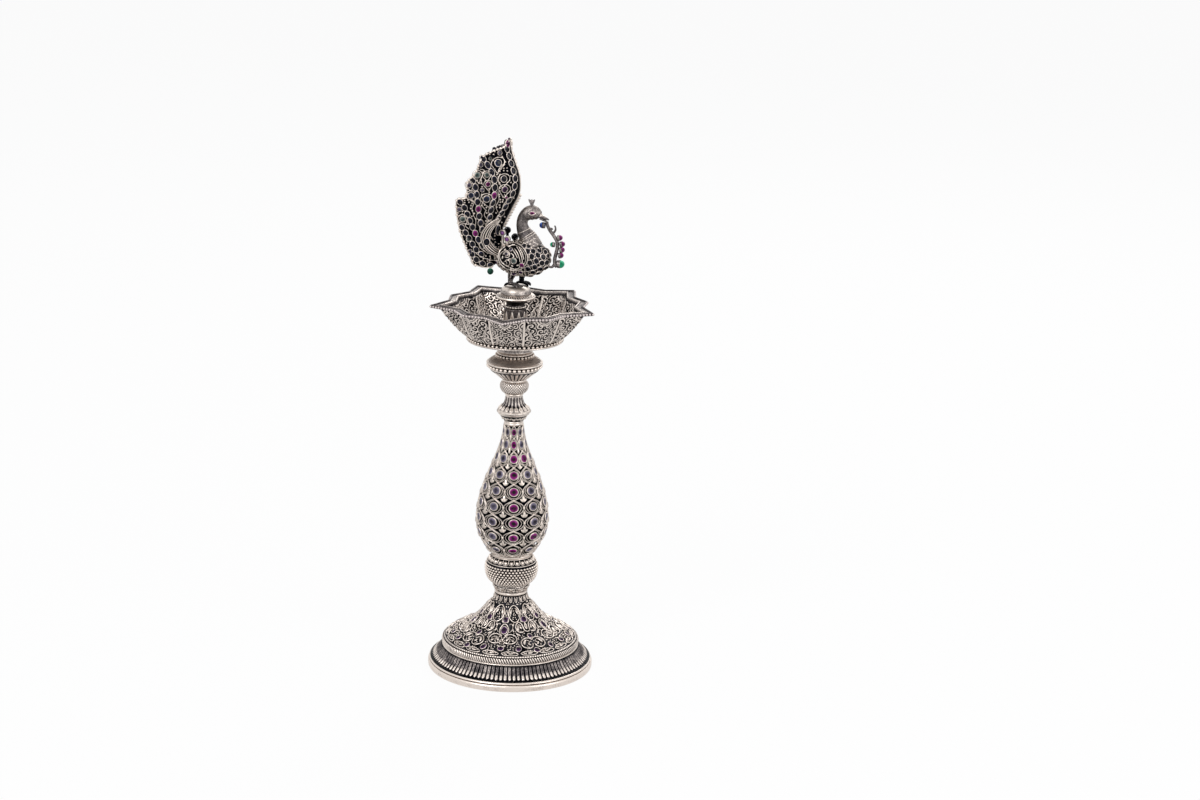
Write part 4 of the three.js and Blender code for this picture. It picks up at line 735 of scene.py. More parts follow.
for spots, turns in ((rounds, repeats_of(5, START)), (others, repeats_of(5, START + DOME_COLUMN)),
                     ([(0.0, 0.145, 70, 2.3, 1.8)], repeats_of(10, START + half))):
    bezels, stones = set_stone(on_dome, spots, turns, collar=0.4, rise=0.9)
    dome_parts += bezels
    dome_stones += stones
border = curves([[(-0.13, 0.045), (-0.07, 0.08), (0.02, 0.085), (0.1, 0.065), (0.14, 0.035),
                  (0.1, 0.01), (0.0, 0.005), (-0.09, 0.015), (-0.13, 0.045)]])
border_leaves = [(0.03, 0.045, 8, 3.6, 1.2, 0.8), (-0.06, 0.04, -30, 2.2, 0.9, 0.7)]
dome_parts += drawn(on_dome, border, 0.6, 0.7, each_half)
dome_parts += placed(on_dome, leaf, border_leaves, each_half)
petal = curves([[(-0.07, 2.18), (-0.07, 1.98), (0.0, 1.84), (0.07, 1.98), (0.07, 2.18)]], 16)
dome_parts += drawn(on_dome, petal, 0.5, 0.6, each_half)
dome_parts += placed(on_dome, leaf, [(0.0, 2.02, 90, 2.0, 0.9, 0.7)], each_half)
dome_parts += placed(on_dome, grain, [(half / 2, 1.83, 0, 0.4, 0.4, 0.5)], each_half)


def chased(a, r, z):
    """Fine uneven ground: three crossed waves about a tenth of a millimetre deep."""
    t = np.interp(z, dome_line[:, 1], dome_reach)
    return 0.05 * (np.sin(90 * a + 40 * t) + np.sin(70 * a - 60 * t) + np.sin(110 * t)) * band(
        z, 19.0, 45.0, 0.3)


outer = dome_line[::18]
inward = unit(np.stack([-np.gradient(outer[:, 1]), np.gradient(outer[:, 0])], -1))
inner = (outer + inward * DOME_SHEET)[::-1]
inner[:, 1] = np.clip(inner[:, 1], DOME_FOOT, DOME_TOP)
shell = revolve(np.vstack([outer, inner]), 360, chased, shade=even(0.16))
piece("dome_shell", [shell], "stand", ("foot_dome",), material=deep_silver)
piece("dome_ornament", dome_parts, "stand")
piece("dome_stones", dome_stones, "stand", material=amethyst)

# Leaf collar: twelve pairs of curling leaves between a bright ring and a hollow.
# A turned silver ring with the leaves soldered on; the rod through the stem holds it down.
WIDE_BORE, STEM_BORE = 4.5, 3.5


def chart_of(line):
    """A surface of revolution as a place(u, v): u is the azimuth and v the way along the line,
    in millimetres from its lower end."""
    fine = dense(np.asarray(line, float), 0.02)
    way = np.concatenate([[0], np.cumsum(np.linalg.norm(np.diff(fine, axis=0), axis=1))])

    def place(u, v):
        """Point at azimuth u and way v."""
        r, z = np.interp(v, way, fine[:, 0]), np.interp(v, way, fine[:, 1])
        return np.stack([r * np.cos(u), r * np.sin(u), z], -1)

    return place


def shell_of(line, wall):
    """The outer line of a turned sheet, closed by a plain bore that wall radius leaves."""
    line = np.asarray(line, float)
    return np.vstack([line, [(wall, line[-1, 1]), (wall, line[0, 1])]])


def turned(line, sides, gap, relief=None, shade=None, bore=STEM_BORE):
    """A turned piece: its outer line, with points no further apart than the gap, closed by a
    bore and carried round the axis."""
    return revolve(dense(shell_of(line, bore), gap), sides, relief, shade=shade)


collar_line = rounded([(8.9, 45.5), (9.9, 46.0, 0.3), (10.0, 47.2, 0.5), (9.3, 47.6, 0.1), (9.4, 48.0),
                       (10.3, 50.3, 0.8), (9.9, 51.5, 0.2), (9.2, 51.7, 0.1), (8.9, 52.5)])
collar_band = chart_of([(9.4, 47.9), (10.3, 50.2), (9.9, 51.5)])
twelve = repeats_of(12, FRONT, mirrored=True)


def collar_shade(push, points):
    """Bright rings and a dark hollow between z 47.8 and 50.9."""
    return 0.72 - 0.68 * band(points[..., 2], 47.8, 50.9, 0.15)


collar = [turned(collar_line, 180, 0.25, shade=collar_shade, bore=WIDE_BORE)]
collar_stem = curves([[(0.0, 0.3), (0.06, 1.2), (0.16, 1.7), (0.22, 2.6), (0.26, 3.3)]])
collar_leaves = [(0.1, 2.3, 50, 2.7, 1.4, 0.8), (0.18, 0.9, 30, 2.2, 1.2, 0.7),
                 (0.0, 2.2, 90, 2.0, 1.1, 0.7)]
collar += drawn(collar_band, collar_stem, 0.5, 0.6, twelve)
collar += placed(collar_band, curled_leaf, collar_leaves, twelve)
piece("leaf_collar_band", collar, "stand", ("leaf_collar",))

# Granulated bulb: a black silver ball under rows of staggered grains, each soldered on.
# A line closes the rows, and a ring of tongues in arches stands above it.
# A bead's shades run from a black foot to a bright top: oxide and wear, with painted shade below and a
# painted highlight above.
bead = round_form([(0.5, -0.85), (0.95, -0.3), (0.95, 0.3), (0.7, 0.7), (0.25, 0.96)], 10,
                  [0.1, 0.5, 0.85, 1, 1])
bulb_line = spline([(9.6, 52.5), (11.2, 53.0), (12.9, 54.3), (14.4, 56.6), (15.1, 59.2), (15.25, 61.8),
                    (14.8, 64.4), (13.4, 67.0), (11.4, 69.3)], 60)
bulb = chart_of(bulb_line)
GRAINS, GRAIN_ROWS, FIRST_GRAINS, GRAIN_GAP = 46, 9, 1.7, 1.52
grain_turn = 2 * math.pi / GRAINS
grains = []
for row in range(GRAIN_ROWS):
    way = FIRST_GRAINS + row * GRAIN_GAP
    radius = math.hypot(*bulb(0.0, way)[:2])
    pitch = 2 * math.pi * radius / GRAINS
    u = FRONT + (np.arange(GRAINS) + 0.5 * (row % 2)) * grain_turn
    spots = np.column_stack([u, np.tile((way, 0, 0.42 * pitch, 0.72, 0.9), (GRAINS, 1))])
    grains += placed(bulb, grain, spots)
around = np.linspace(0, 2 * math.pi, 121)[:-1]
line_ring = wire(*chart(bulb, around, 15.7 + 0 * around), 0.6, 0.7, closed=True)
upper_ring = wire(*chart(bulb, around, 20.4 + 0 * around), 0.9, 0.6, closed=True)
tongue_ring = placed(bulb, bead, [(0.0, 18.0, 90, 1.3, 1.0, 0.85)], repeats_of(24, FRONT))
arch = curves([[(-0.125, 20.0), (-0.11, 17.5), (0.0, 16.5), (0.11, 17.5), (0.125, 20.0)]], 14)
arches = drawn(bulb, arch, 0.4, 0.6, repeats_of(24, FRONT))
piece("bulb_ball", [revolve(shell_of(bulb_line, WIDE_BORE), 160, shade=even(0.1))],
      "stand", ("granulated_bulb",), material=deep_silver)
piece("bulb_grains", grains + [line_ring, upper_ring] + tongue_ring + arches, "stand")

# Baluster: open silver wirework of nine rows and ten columns with a set stone in each mesh.
# Buds and beads cover the crossings. The stones of the front column and two beside it are red,
# the others grey violet. A black sheet inside the wirework is painted shade: it stands for the
# shade within the hollow baluster.
# Black silver, also used for the painted shade sheet inside the baluster.
black_silver = silver_finish("black_oxide_and_painted_shade", "07080c", "1b1c22", "4a4b52", 0.42, level=0.2)
ruby = stone_finish("ruby_stone", "ruby", "0a0108", "7d1568", "c44bae")
lavender = stone_finish("lavender_stone", "ruby", "24202a", "6f687c", "b0a8bc")
bright_leaf = (leaf[0], leaf[1], 0.35 + 0.65 * leaf[2])
FIRST_ROW, ROW, TALL_ROWS, NECK_ROW = 72.4, 9.05, 7, 7.3
BALUSTER_FOOT, BALUSTER_TOP = 69.3, 151.9
BELLY_RISE = 21.5  # from the foot to the belly
FOOT_RADIUS, BELLY_RADIUS, NECK_RADIUS = 11.2, 20.8, 5.2
COLUMNS = 10
COLUMN = 2 * math.pi / COLUMNS
BALUSTER_FRONT = FRONT + math.radians(2.4)


def baluster_radius(z):
    """A quarter sine from the foot to the belly, then half a cosine wave down to the neck."""
    h = z - BALUSTER_FOOT
    up = np.clip(h / BELLY_RISE, 0, 1)
    down = np.clip((h - BELLY_RISE) / (BALUSTER_TOP - BALUSTER_FOOT - BELLY_RISE), 0, 1)
    rising = FOOT_RADIUS + (BELLY_RADIUS - FOOT_RADIUS) * np.sin(0.5 * math.pi * up)
    falling = NECK_RADIUS + 0.5 * (BELLY_RADIUS - NECK_RADIUS) * (1 + np.cos(math.pi * down**1.1))
    return np.where(h < BELLY_RISE, rising, falling)


def on_baluster(u, v):
    """Point u columns round and v rows up."""
    z = FIRST_ROW + ROW * np.minimum(v, TALL_ROWS) + NECK_ROW * np.maximum(v - TALL_ROWS, 0)
    a = BALUSTER_FRONT + u * COLUMN
    r = baluster_radius(z)
    return np.stack([r * np.cos(a), r * np.sin(a), z], -1)


each_column = [(float(k), m) for k in range(COLUMNS) for m in (1.0, -1.0)]
each_once = [(float(k), 1.0) for k in range(COLUMNS)]
# Half width and half height of the bezels of each row, from the foot up.
HALF_SIZES = [(2.75, 2.0), (3.0, 2.6), (3.05, 2.65), (3.0, 2.65), (2.9, 2.7), (2.8, 2.75), (2.5, 2.7),
              (1.75, 2.7), (1.45, 2.35)]
wires, buds, settings, red_stones, pale_stones = [], [], [], [], []
for row, (wide, tall) in enumerate(HALF_SIZES):
    outer = curves([[(0, row - 0.02), (0.16, row + 0.07), (0.38, row + 0.22), (0.497, row + 0.5),
                     (0.38, row + 0.74), (0.16, row + 0.9), (0, row + 1.0)]])
    wires += drawn(on_baluster, outer, 0.55, 0.9, each_column)
    if row < TALL_ROWS:
        inner_frame = curves([[(0, row + 0.1), (0.2, row + 0.17), (0.365, row + 0.47),
                               (0.27, row + 0.74), (0.1, row + 0.87), (0, row + 0.94)]])
        wires += drawn(on_baluster, inner_frame, 0.45, 0.6, each_column)
        middle = row + 0.5
        petal = 4.6 * min(float(baluster_radius(FIRST_ROW + ROW * row)) / 17, 1)
        upright = [(0.5, row + 0.1, 90, 4.3, petal * 0.46, 1.25)]
        slanting = [(0.42, row - 0.02, 140, 3.0, petal * 0.34, 1.05)]
        buds += placed(on_baluster, bright_leaf, upright, each_once)
        buds += placed(on_baluster, bright_leaf, slanting, each_column)
        buds += placed(on_baluster, bead, [(0.5, row + 0.5, 0, 0.85, 0.85, 1.2)], each_once)
    else:
        middle = row + 0.48
        buds += placed(on_baluster, bright_leaf, [(0.5, row + 0.05, 90, 4.2, 1.5, 0.9)], each_once)
    buds += placed(on_baluster, bead, [(0, row, 0, 0.6, 0.6, 0.8)], each_once)
    for column in range(COLUMNS):
        bezels, stones = set_stone(on_baluster, [(column, middle, 0, wide, tall)], rise=0.9)
        settings += bezels
        if column == 0 or (column == 1 and row in (1, 6)):
            red_stones += stones
        else:
            pale_stones += stones
ring_foot = rounded([(9.6, BALUSTER_FOOT), (11.2, BALUSTER_FOOT), (11.75, 69.9, 0.4), (11.5, 70.7, 0.3),
                     (11.1, 71.0, 0.1), (11.9, 71.4, 0.3), (12.6, 72.6, 0.3), (11.6, 72.9),
                     (9.6, 71.2)])
ring_head = rounded([(4.2, BALUSTER_TOP), (4.2, 150.4), (5.5, 150.2), (5.9, 151.0, 0.3),
                     (5.6, BALUSTER_TOP)])
wires += [revolve(dense(ring_foot, 0.25), 160, depth=0.35), revolve(dense(ring_head, 0.25), 120)]
# Painted shade: a black sheet inside the wirework, where the hollow baluster lies in shade.
SHADE_SHEET_INSET, SHADE_SHEET_BORE = 2.4, 2.6
shade_sheet_z = np.linspace(70.5, 150.5, 60)
shade_sheet = shell_of(np.stack([baluster_radius(shade_sheet_z) - SHADE_SHEET_INSET, shade_sheet_z], -1), SHADE_SHEET_BORE)
piece("baluster_painted_shade_sheet", [revolve(shade_sheet, 96, shade=even(0.0))], "stand", material=black_silver)
piece("baluster_wires", wires, "stand", ("baluster_lattice",))
piece("baluster_buds", buds, "stand")
piece("baluster_bezels", settings, "stand")
piece("baluster_red_stones", red_stones, "stand",
      [f"baluster_ruby_{k}" for k in range(1, 10)], material=ruby)
piece("baluster_pale_stones", pale_stones, "stand", material=lavender)

# Collar on the baluster's top: a bright turned ring under a band that flares to the bell.
# The band is black, with silver leaves soldered on.
top_line = rounded([(5.6, 151.9), (5.9, 152.3, 0.3), (5.6, 152.8, 0.1), (5.9, 153.2), (6.5, 154.6, 0.8),
                    (8.0, 156.1, 0.6), (9.2, 156.9, 0.2), (9.2, 157.3)])
top_band = chart_of([(5.9, 153.2), (6.5, 154.6), (8.0, 156.1)])


def top_shade(push, points):
    """A bright ring below and a dark band between z 153 and 156.6."""
    return 0.66 - 0.6 * band(points[..., 2], 153.0, 156.6, 0.2)


top = [turned(top_line, 144, 0.25, shade=top_shade)]
top += placed(top_band, curled_leaf, [(0.12, 1.5, 60, 2.6, 1.4, 0.8), (0.27, 2.5, 130, 2.2, 1.2, 0.7)],
              repeats_of(9, FRONT, mirrored=True))
piece("top_collar", top, "stand", ("baluster_top_collar",))

# Bell: turned silver with a plain edge, eighteen tongues on its slope and flutes up its neck,
# all chased into the metal.
FLUTES = 18
bell_line = rounded([(9.3, 157.3), (10.2, 158.2, 0.5), (10.1, 159.0, 0.4), (9.6, 159.4, 0.2),
                     (8.4, 160.5, 0.8), (7.0, 161.8, 1.0), (5.9, 163.2, 1.0), (5.1, 165.4, 1.2),
                     (4.75, 168.2)])


def bell_flutes(a, r, z):
    """Ridges, wave(18 a / 2 pi) from their middles, swelling to round ends at the bottom."""
    x = wave(a * FLUTES / (2 * math.pi)) / (0.26 + 0.18 * band(z, 159.9, 161.2, 0.6))
    return np.sqrt(np.maximum(1 - x**2, 0)) * (0.32 + 0.35 * band(z, 159.9, 161.5, 0.6)) * band(
        z, 159.9, 167.4, 0.3) * (r > 3.8)


def bell_shade(push, points):
    """Bright with the relief: strongly on the tongues, less on the flutes, 0.64 on the edge."""
    height = points[..., 2]
    inside = band(height, 159.8, 167.4, 0.15)
    upper = step(height, 162.0, 164.0)
    return inside * (0.34 * upper + (1.7 - 0.7 * upper) * push) + (1 - inside) * 0.64


piece("fluted_bell", [turned(bell_line, FLUTES * 14, 0.2, bell_flutes, bell_shade)], "stand",
      ("bell_disc",))

# Neck ring: a plain turned silver bead that covers the joint between the bell and the bulb.
# It is held between them.
ring_line = rounded([(4.4, 168.2), (5.2, 168.2, 0.2), (5.7, 168.8, 0.4), (5.2, 169.6, 0.2)])
piece("plain_neck_ring", [turned(ring_line, 120, 0.2)], "stand", ("neck_ring",))

# Small bulb: a turned silver ball, cross-hatched all over with a graver.
# It is held between the neck ring and the cup.
HATCHES = 34
small_line = spline([(5.2, 169.6), (6.7, 170.3), (7.8, 171.6), (8.3, 173.2), (8.3, 174.8), (7.6, 176.1),
                     (6.6, 176.8)], 60)


def hatching(a, r, z):
    """Two crossed sets of shallow cuts, wave(34 a / 2 pi +- 0.6 z), that leave diamonds."""
    t = HATCHES * a / (2 * math.pi)
    lines = np.minimum(wave(t + z * 0.6), wave(t - z * 0.6)) / 0.22
    return 0.22 * np.minimum(lines, 1) * (r > 5.3)


piece("hatched_ball", [revolve(shell_of(small_line, STEM_BORE), 480, hatching,
                               shade=lambda push, p: 0.05 + 4.2 * push)], "stand", ("hatched_bulb",))

# Fluted cup: turned silver, with tongues that open upwards to a wide edge.
# A ring of long beads lies in the groove of the edge, soldered down.
CUP_TONGUES = 30
cup_line = rounded([(6.6, 176.8), (7.3, 177.3, 0.3), (7.0, 178.0, 0.2), (7.9, 178.8, 0.4),
                    (10.6, 181.2, 1.0), (12.4, 182.6, 1.0), (14.7, 184.3, 0.6), (15.5, 185.2, 0.3),
                    (15.0, 185.6, 0.1), (15.0, 187.2, 0.1), (15.6, 187.5)])


def cup_tongues(a, r, z):
    """Round-ended tongues on the cup, wave(30 a / 2 pi) from their middles."""
    x = wave(a * CUP_TONGUES / (2 * math.pi))
    away = np.hypot(x, np.maximum((z - 183.2) / 2.2, 0)) / 0.42
    return 0.42 * np.sqrt(np.maximum(1 - away**2, 0)) * step(z, 178.3, 179.2) * (r > 7)


def cup_shade(push, points):
    """Bright with the relief on the tongues, black in the groove, 0.68 on the rings."""
    height = points[..., 2]
    inside = band(height, 178.5, 184.2, 0.2)
    return inside * 2.0 * push + (1 - inside) * np.where(height > 185.4, 0.05, 0.68)


def ring_of(form, count, radius, height, size, tilt=0.0):
    """Forms in a ring, z outwards and lifted by the tilt in degrees, x along the ring."""
    a = FRONT + np.arange(count) * 2 * math.pi / count
    out = np.stack([np.cos(a), np.sin(a), 0 * a], -1)
    up = np.array([0, 0, 1.0])
    normal = math.cos(math.radians(tilt)) * out + math.sin(math.radians(tilt)) * up
    return scatter(form, radius * out + height * up, normal, np.cross(up, out), size)


piece("tongued_cup", [turned(cup_line, CUP_TONGUES * 12, 0.2, cup_tongues, cup_shade)], "stand",
      ("fluted_cup",))
piece("long_beads", [ring_of(bead, 36, 15.75, 186.4, (1.12, 0.92, 0.95), tilt=-5)], "stand",
      ("disc_bead_ring",))

# Seat of the bowl: a turned silver disc with a sharp edge and a dull hollow ruled with fine
# flutes. A ring of round beads lies above it, and a bright ring carries the bowl.
FINE_FLUTES = 150
seat_line = rounded([(15.6, 187.5), (16.6, 187.7, 0.2), (16.7, 188.4, 0.3), (16.2, 188.8, 0.2),
                     (15.7, 189.0, 0.1), (14.4, 190.0, 0.8), (12.4, 191.2, 0.8), (11.3, 191.9, 0.2),
                     (10.0, 192.0, 0.1), (10.0, 193.4, 0.1), (10.5, 193.6, 0.1), (10.8, 194.1, 0.3),
                     (10.4, 194.6, 0.2), (9.6, 195.2, 0.4), (9.4, 198.6, 0.6), (9.9, 200.4)])


def ruling(a, r, z):
    """Fine flutes down the hollow, cos(150 a)."""
    return 0.09 * np.cos(FINE_FLUTES * a) * band(z, 189.3, 191.5, 0.2)


def seat_shade(push, points):
    """Dull in the hollow, at a level raised as painted light against the bowl's shadow; black in the
    groove behind the beads, oxide with painted shade; and less bright on the neck.
    """
    radius = np.hypot(points[..., 0], points[..., 1])
    height = points[..., 2]
    hollow = band(height, 189.2, 191.7, 0.15)
    groove = band(height, 192.0, 193.5, 0.1) * (radius < 10.4)
    neck = step(height, 195.0, 196.0)
    return 0.74 - hollow * (0.22 - 3.4 * push) - groove * 0.74 - 0.3 * neck


piece("ruled_seat", [turned(seat_line, FINE_FLUTES * 4, 0.2, ruling, seat_shade)], "stand",
      ("bowl_seat",))
piece("round_beads", [ring_of(bead, 30, 10.75, 192.7, (0.92, 0.78, 0.95))], "stand",
      ("seat_bead_ring",))

# Bowl: a ten-pointed star raised from silver sheet, with five long points and five short.
# It is chased with scrolls inside and out, and a flat lip and beaded wires close it.
LONG_TIP, SHORT_TIP, NOTCH = 50.5, 43.0, 39.8
FIRST_TIP = -98.45
SIDE = 30  # steps along each of the star's twenty edges
star_turn = np.radians(FIRST_TIP + 18 * np.arange(20))
star_radius = np.tile([LONG_TIP, NOTCH, SHORT_TIP, NOTCH], 5)
STAR = star_radius[:, None] * np.stack([np.cos(star_turn), np.sin(star_turn)], -1)


def inset(outline, distance):
    """The outline moved in square to its edges: each corner p goes by distance / cos of half its
    turn along its bisector."""
    before, after = np.roll(outline, 1, 0), np.roll(outline, -1, 0)
    arriving, leaving = unit(outline - before), unit(after - outline)
    inward = unit(np.stack([-arriving[:, 1] - leaving[:, 1], arriving[:, 0] + leaving[:, 0]], -1))
    lean = (inward * np.stack([-leaving[:, 1], leaving[:, 0]], -1)).sum(-1, keepdims=True)
    return outline + inward * distance / lean


def edge_points(outline):
    """Each edge divided into SIDE equal steps."""
    t = (np.arange(SIDE) / SIDE)[None, :, None]
    return (outline[:, None] * (1 - t) + np.roll(outline, -1, 0)[:, None] * t).reshape(-1, 2)


rim_angle = np.arctan2(*edge_points(STAR).T[::-1])
BOWL_SIDES = len(rim_angle)
corner = np.arange(BOWL_SIDES) / SIDE
tip_way = np.abs((corner + 1) % 2 - 1)
tip_long = np.where(((corner + 1) % 4) < 2, 1.0, 0.0)
WALL_FOOT, WALL_TOP = 204.2, 221.9


def round_row(radius):
    """Points of a circle in the star's directions."""
    return radius * np.stack([np.cos(rim_angle), np.sin(rim_angle)], -1)


def star_row(distance):
    """Points of the star, moved in by a distance."""
    return edge_points(inset(STAR, distance))


SCROLL_GAP, SPIRAL_PITCH = 4.6, 1.75
CHASED_RISE = 20.0  # length of the wall's slope
LONG_EDGE, SHORT_EDGE, FOOT_EDGE = 17.6, 13.3, 8.8
MEDAL_WIDE, MEDAL_TALL = 5.4, 4.4
RIB_LEAF = 14.0  # height of the leaves beside the ribs


def scrolls(x, y):
    """Chased tendrils: round each centre of a jittered grid a spiral, cos(2 pi d / 1.75 +- angle),
    where d is the distance from the nearest centre."""
    shift = np.random.default_rng(3).uniform(-0.26, 0.26, (64, 16, 2))
    best, value = np.full(x.shape, 1e9), np.zeros(x.shape)
    for i in (-1, 0, 1):
        for j in (-1, 0, 1):
            column = np.floor(x / SCROLL_GAP).astype(int) + i
            line = np.floor(y / SCROLL_GAP).astype(int) + j
            nudge = shift[column % 64, line % 16]
            dx = x - (column + 0.5 + nudge[..., 0]) * SCROLL_GAP
            dy = y - (line + 0.5 + nudge[..., 1]) * SCROLL_GAP
            d = np.hypot(dx, dy)
            turn = np.where((column + line) % 2 == 0, 1, -1)
            spiral = np.cos(2 * math.pi * d / SPIRAL_PITCH + turn * np.arctan2(dy, dx))
            value = np.where(d < best, spiral, value)
            best = np.minimum(best, d)
    return value


def wall_relief(share, way, long_tip):
    """Height of the chasing at a share of the wall's height and a way (0 tip, 1 notch) from the
    tip, with its shade: ribs at the notches, leaves beside them, half-round medallions under
    the tips, and scrolls elsewhere."""
    top_width = (LONG_EDGE * long_tip + SHORT_EDGE * (1 - long_tip)) * 0.9
    width = FOOT_EDGE + (top_width - FOOT_EDGE) * share
    x, y = way * width, share * CHASED_RISE
    height = 0.45 * np.clip(0.4 + 0.9 * scrolls(x + 40 * long_tip, y), 0, 1)
    shade = 3.0 * height - 0.3
    from_top = np.hypot(x / MEDAL_WIDE, (CHASED_RISE - y) / MEDAL_TALL)
    medal = from_top < 1
    dots = 0.24 * np.maximum(np.cos(2 * math.pi * x / 1.3) * np.cos(2 * math.pi * y / 1.3), 0)
    arcs = 0.3 * (np.abs(from_top - 0.93) < 0.07) + 0.26 * (np.abs(from_top - 0.66) < 0.06)
    height = np.where(medal, np.maximum(dots, arcs), height)
    shade = np.where(medal, 0.12 + 3.2 * height, shade)
    side = width - x
    leaf_half = 3.4 * np.sin(math.pi * np.clip(y / RIB_LEAF, 0, 1)) ** 0.9
    off = side - 1.0 - leaf_half
    lines = (np.abs(off) < 0.24) | (np.abs(off + 0.75) < 0.2)
    within = (side < 1.0 + leaf_half + 0.4) & (y < RIB_LEAF + 0.2)
    height = np.where(within & lines, 0.3, np.where(within & (np.abs(off) < 0.9), 0.0, height))
    shade = np.where(within, np.where(lines, 1.0, np.where(np.abs(off) < 0.9, 0.0, shade)), shade)
    rib = np.sqrt(np.maximum(1 - (side / 0.75) ** 2, 0))
    height = np.where(side < 0.95, 0.55 * rib, height)
    shade = np.where(side < 0.95, 0.15 + rib, shade)
    edge = (y < 0.5) | (y > 19.3)
    return np.where(edge, 0.0, height), np.where(edge, 0.15, shade)


def wall_rows(base, top, count, sign):
    """Rows up one face of the wall, from a circle to the star, with shade. Between them the
    blend goes with height ^ 0.74, and relief is pushed along the row's normals."""
    share = np.linspace(0, 1, count)[:, None]
    blend = (share**0.74)[..., None]
    flat = round_row(base)[None] * (1 - blend) + star_row(top)[None] * blend
    level = WALL_FOOT + (WALL_TOP - WALL_FOOT) * share + 0 * flat[..., 0]
    rows = np.concatenate([flat, level[..., None]], -1)
    along = np.roll(rows, -1, 1) - np.roll(rows, 1, 1)
    normal = unit(np.cross(along, np.gradient(rows, axis=0))) * sign
    height, shade = wall_relief(*np.broadcast_arrays(share, tip_way[None], tip_long[None]))
    return rows + normal * height[..., None], shade


outside, outside_shade = wall_rows(27.4, 4.0, 72, 1)
inside, inside_shade = wall_rows(26.1, 5.3, 72, -1)
# Rows below the wall and of the floor are (radius, height, shade); those of the lip are
# (distance in from the star's edge, height, shade).
# The underside's shades of 0.55 to 0.65 are painted light on the bowl's shaded underside, which the seat
# reflects.
BELOW = [(10.0, 200.4, 0.62), (20.0, 200.9, 0.62), (28.3, 201.8, 0.55), (28.6, 202.2, 0.65),
         (28.3, 202.8, 0.65), (27.4, 202.8, 0.1), (27.4, 204.1, 0.1)]
LIP = [(1.2, 221.9, 0.1), (0.2, 222.0, 0.1), (0.0, 222.5, 0.15), (0.1, 223.0, 0.2),
       (0.3, 223.7, 0.35), (0.7, 223.9, 0.4), (1.1, 223.7, 0.3), (1.25, 223.1, 0.1),
       (1.5, 223.0, 0.44), (3.7, 223.0, 0.48), (3.9, 223.0, 0.1), (4.05, 223.5, 0.5),
       (4.4, 223.75, 0.68), (4.8, 223.6, 0.66), (5.1, 223.1, 0.5), (5.3, 222.5, 0.4)]
FLOOR = [(25.4, 203.9, 0.1), (23.5, 203.8, 0.3), (8.8, 202.4, 0.35), (3.5, 202.4, 0.2)]


def row_at(flat, z):
    """One row of a grid, lifted to a height."""
    return np.concatenate([flat, np.full((len(flat), 1), z)], -1)[None]


rows = [row_at(round_row(r), z) for r, z, _ in BELOW] + [outside]
rows += [row_at(star_row(d), z) for d, z, _ in LIP] + [inside[::-1]]
rows += [row_at(round_row(r), z) for r, z, _ in FLOOR]
tones = [np.full((1, BOWL_SIDES), t) for _, _, t in BELOW] + [outside_shade]
tones += [np.full((1, BOWL_SIDES), t) for _, _, t in LIP] + [inside_shade[::-1]]
tones += [np.full((1, BOWL_SIDES), t) for _, _, t in FLOOR]
bowl_points = np.concatenate(rows)
bowl_faces = grid_faces(len(bowl_points), BOWL_SIDES, wrap_rows=True)
bowl_points = bowl_points.reshape(-1, 3)
bowl_shade = np.concatenate(tones).ravel()
piece("chased_bowl", [(bowl_points, facing_out(bowl_points, [bowl_faces]), bowl_shade)], "bowl",
      ("star_bowl",))
bead_star = inset(STAR, 0.45)
bead_line = dense(np.vstack([bead_star, bead_star[:1]]), 2.0)[:-1]
bead_spots = np.hstack([bead_line, np.full((len(bead_line), 1), 222.75)])
bead_out = np.hstack([unit(bead_line), np.zeros((len(bead_line), 1))])
lip_beads = scatter(bead, bead_spots, bead_out, (0, 0, 1.0), (0.8, 1.0, 0.95))
piece("lip_beads", [lip_beads], "bowl", ("rim_bead_wire",), material=deep_silver)
piece("bowl_beads", [ring_of(bead, 66, 28.0, 203.5, (0.95, 0.72, 0.85))], "bowl", ("bowl_bead_ring",))

# Centre post: a turned silver column with ten upright leaves chased on it, screwed through the
# bowl into the stem. A ring of beads lies on its top.
POST_BORE = 3.2
POST_LEAVES = 10
post_line = rounded([(8.5, 202.4), (8.5, 203.4, 0.3), (6.6, 204.4, 0.5), (6.3, 220.7, 0.2),
                     (5.0, 221.0), (4.9, 222.9)])


def post_leaves(a, r, z):
    """Ten upright leaves: ridges that narrow to points at z 219.5, with a sunk vein."""
    x = wave(a * POST_LEAVES / (2 * math.pi)) / 0.5
    t = np.clip((z - 204.6) / 15.0, 0, 1)
    half = 0.85 * np.sin(math.pi * (0.12 + 0.88 * t) ** 0.8) ** 0.7
    body = np.sqrt(np.maximum(1 - (x / np.maximum(half, 0.01)) ** 2, 0))
    vein = 1 - 0.5 * np.exp(-((x / 0.16) ** 2))
    return 0.75 * body * vein * band(z, 204.7, 219.4, 0.3) * (r > 5)


def post_shade(push, points):
    """Brighter with the relief, over a level of 0.36 raised as painted light against the shadow of
    the bowl and the finial.
    """
    return 0.36 + push


post = turned(post_line, POST_LEAVES * 20, 0.3, post_leaves, post_shade, POST_BORE)
piece("leafed_post", [post], "bowl", ("centre_post",))
piece("post_beads", [ring_of(bead, 22, 5.6, 221.8, (0.78, 0.7, 0.7))], "bowl", ("post_bead_ring",))

# Finial base: a black waist, a turned silver disc with a hatched edge and a plain dull dome,
# on the spigot that screws into the post.
DISC_CUTS = 48
disc_line = rounded([(4.6, 222.9), (5.3, 223.0, 0.2), (5.9, 224.6, 0.8), (9.0, 226.2, 1.2),
                     (11.3, 226.9, 0.3), (11.6, 227.6, 0.3), (11.3, 228.2, 0.3), (10.6, 228.5, 0.2),
                     (9.3, 229.2, 0.2), (8.8, 229.3)])


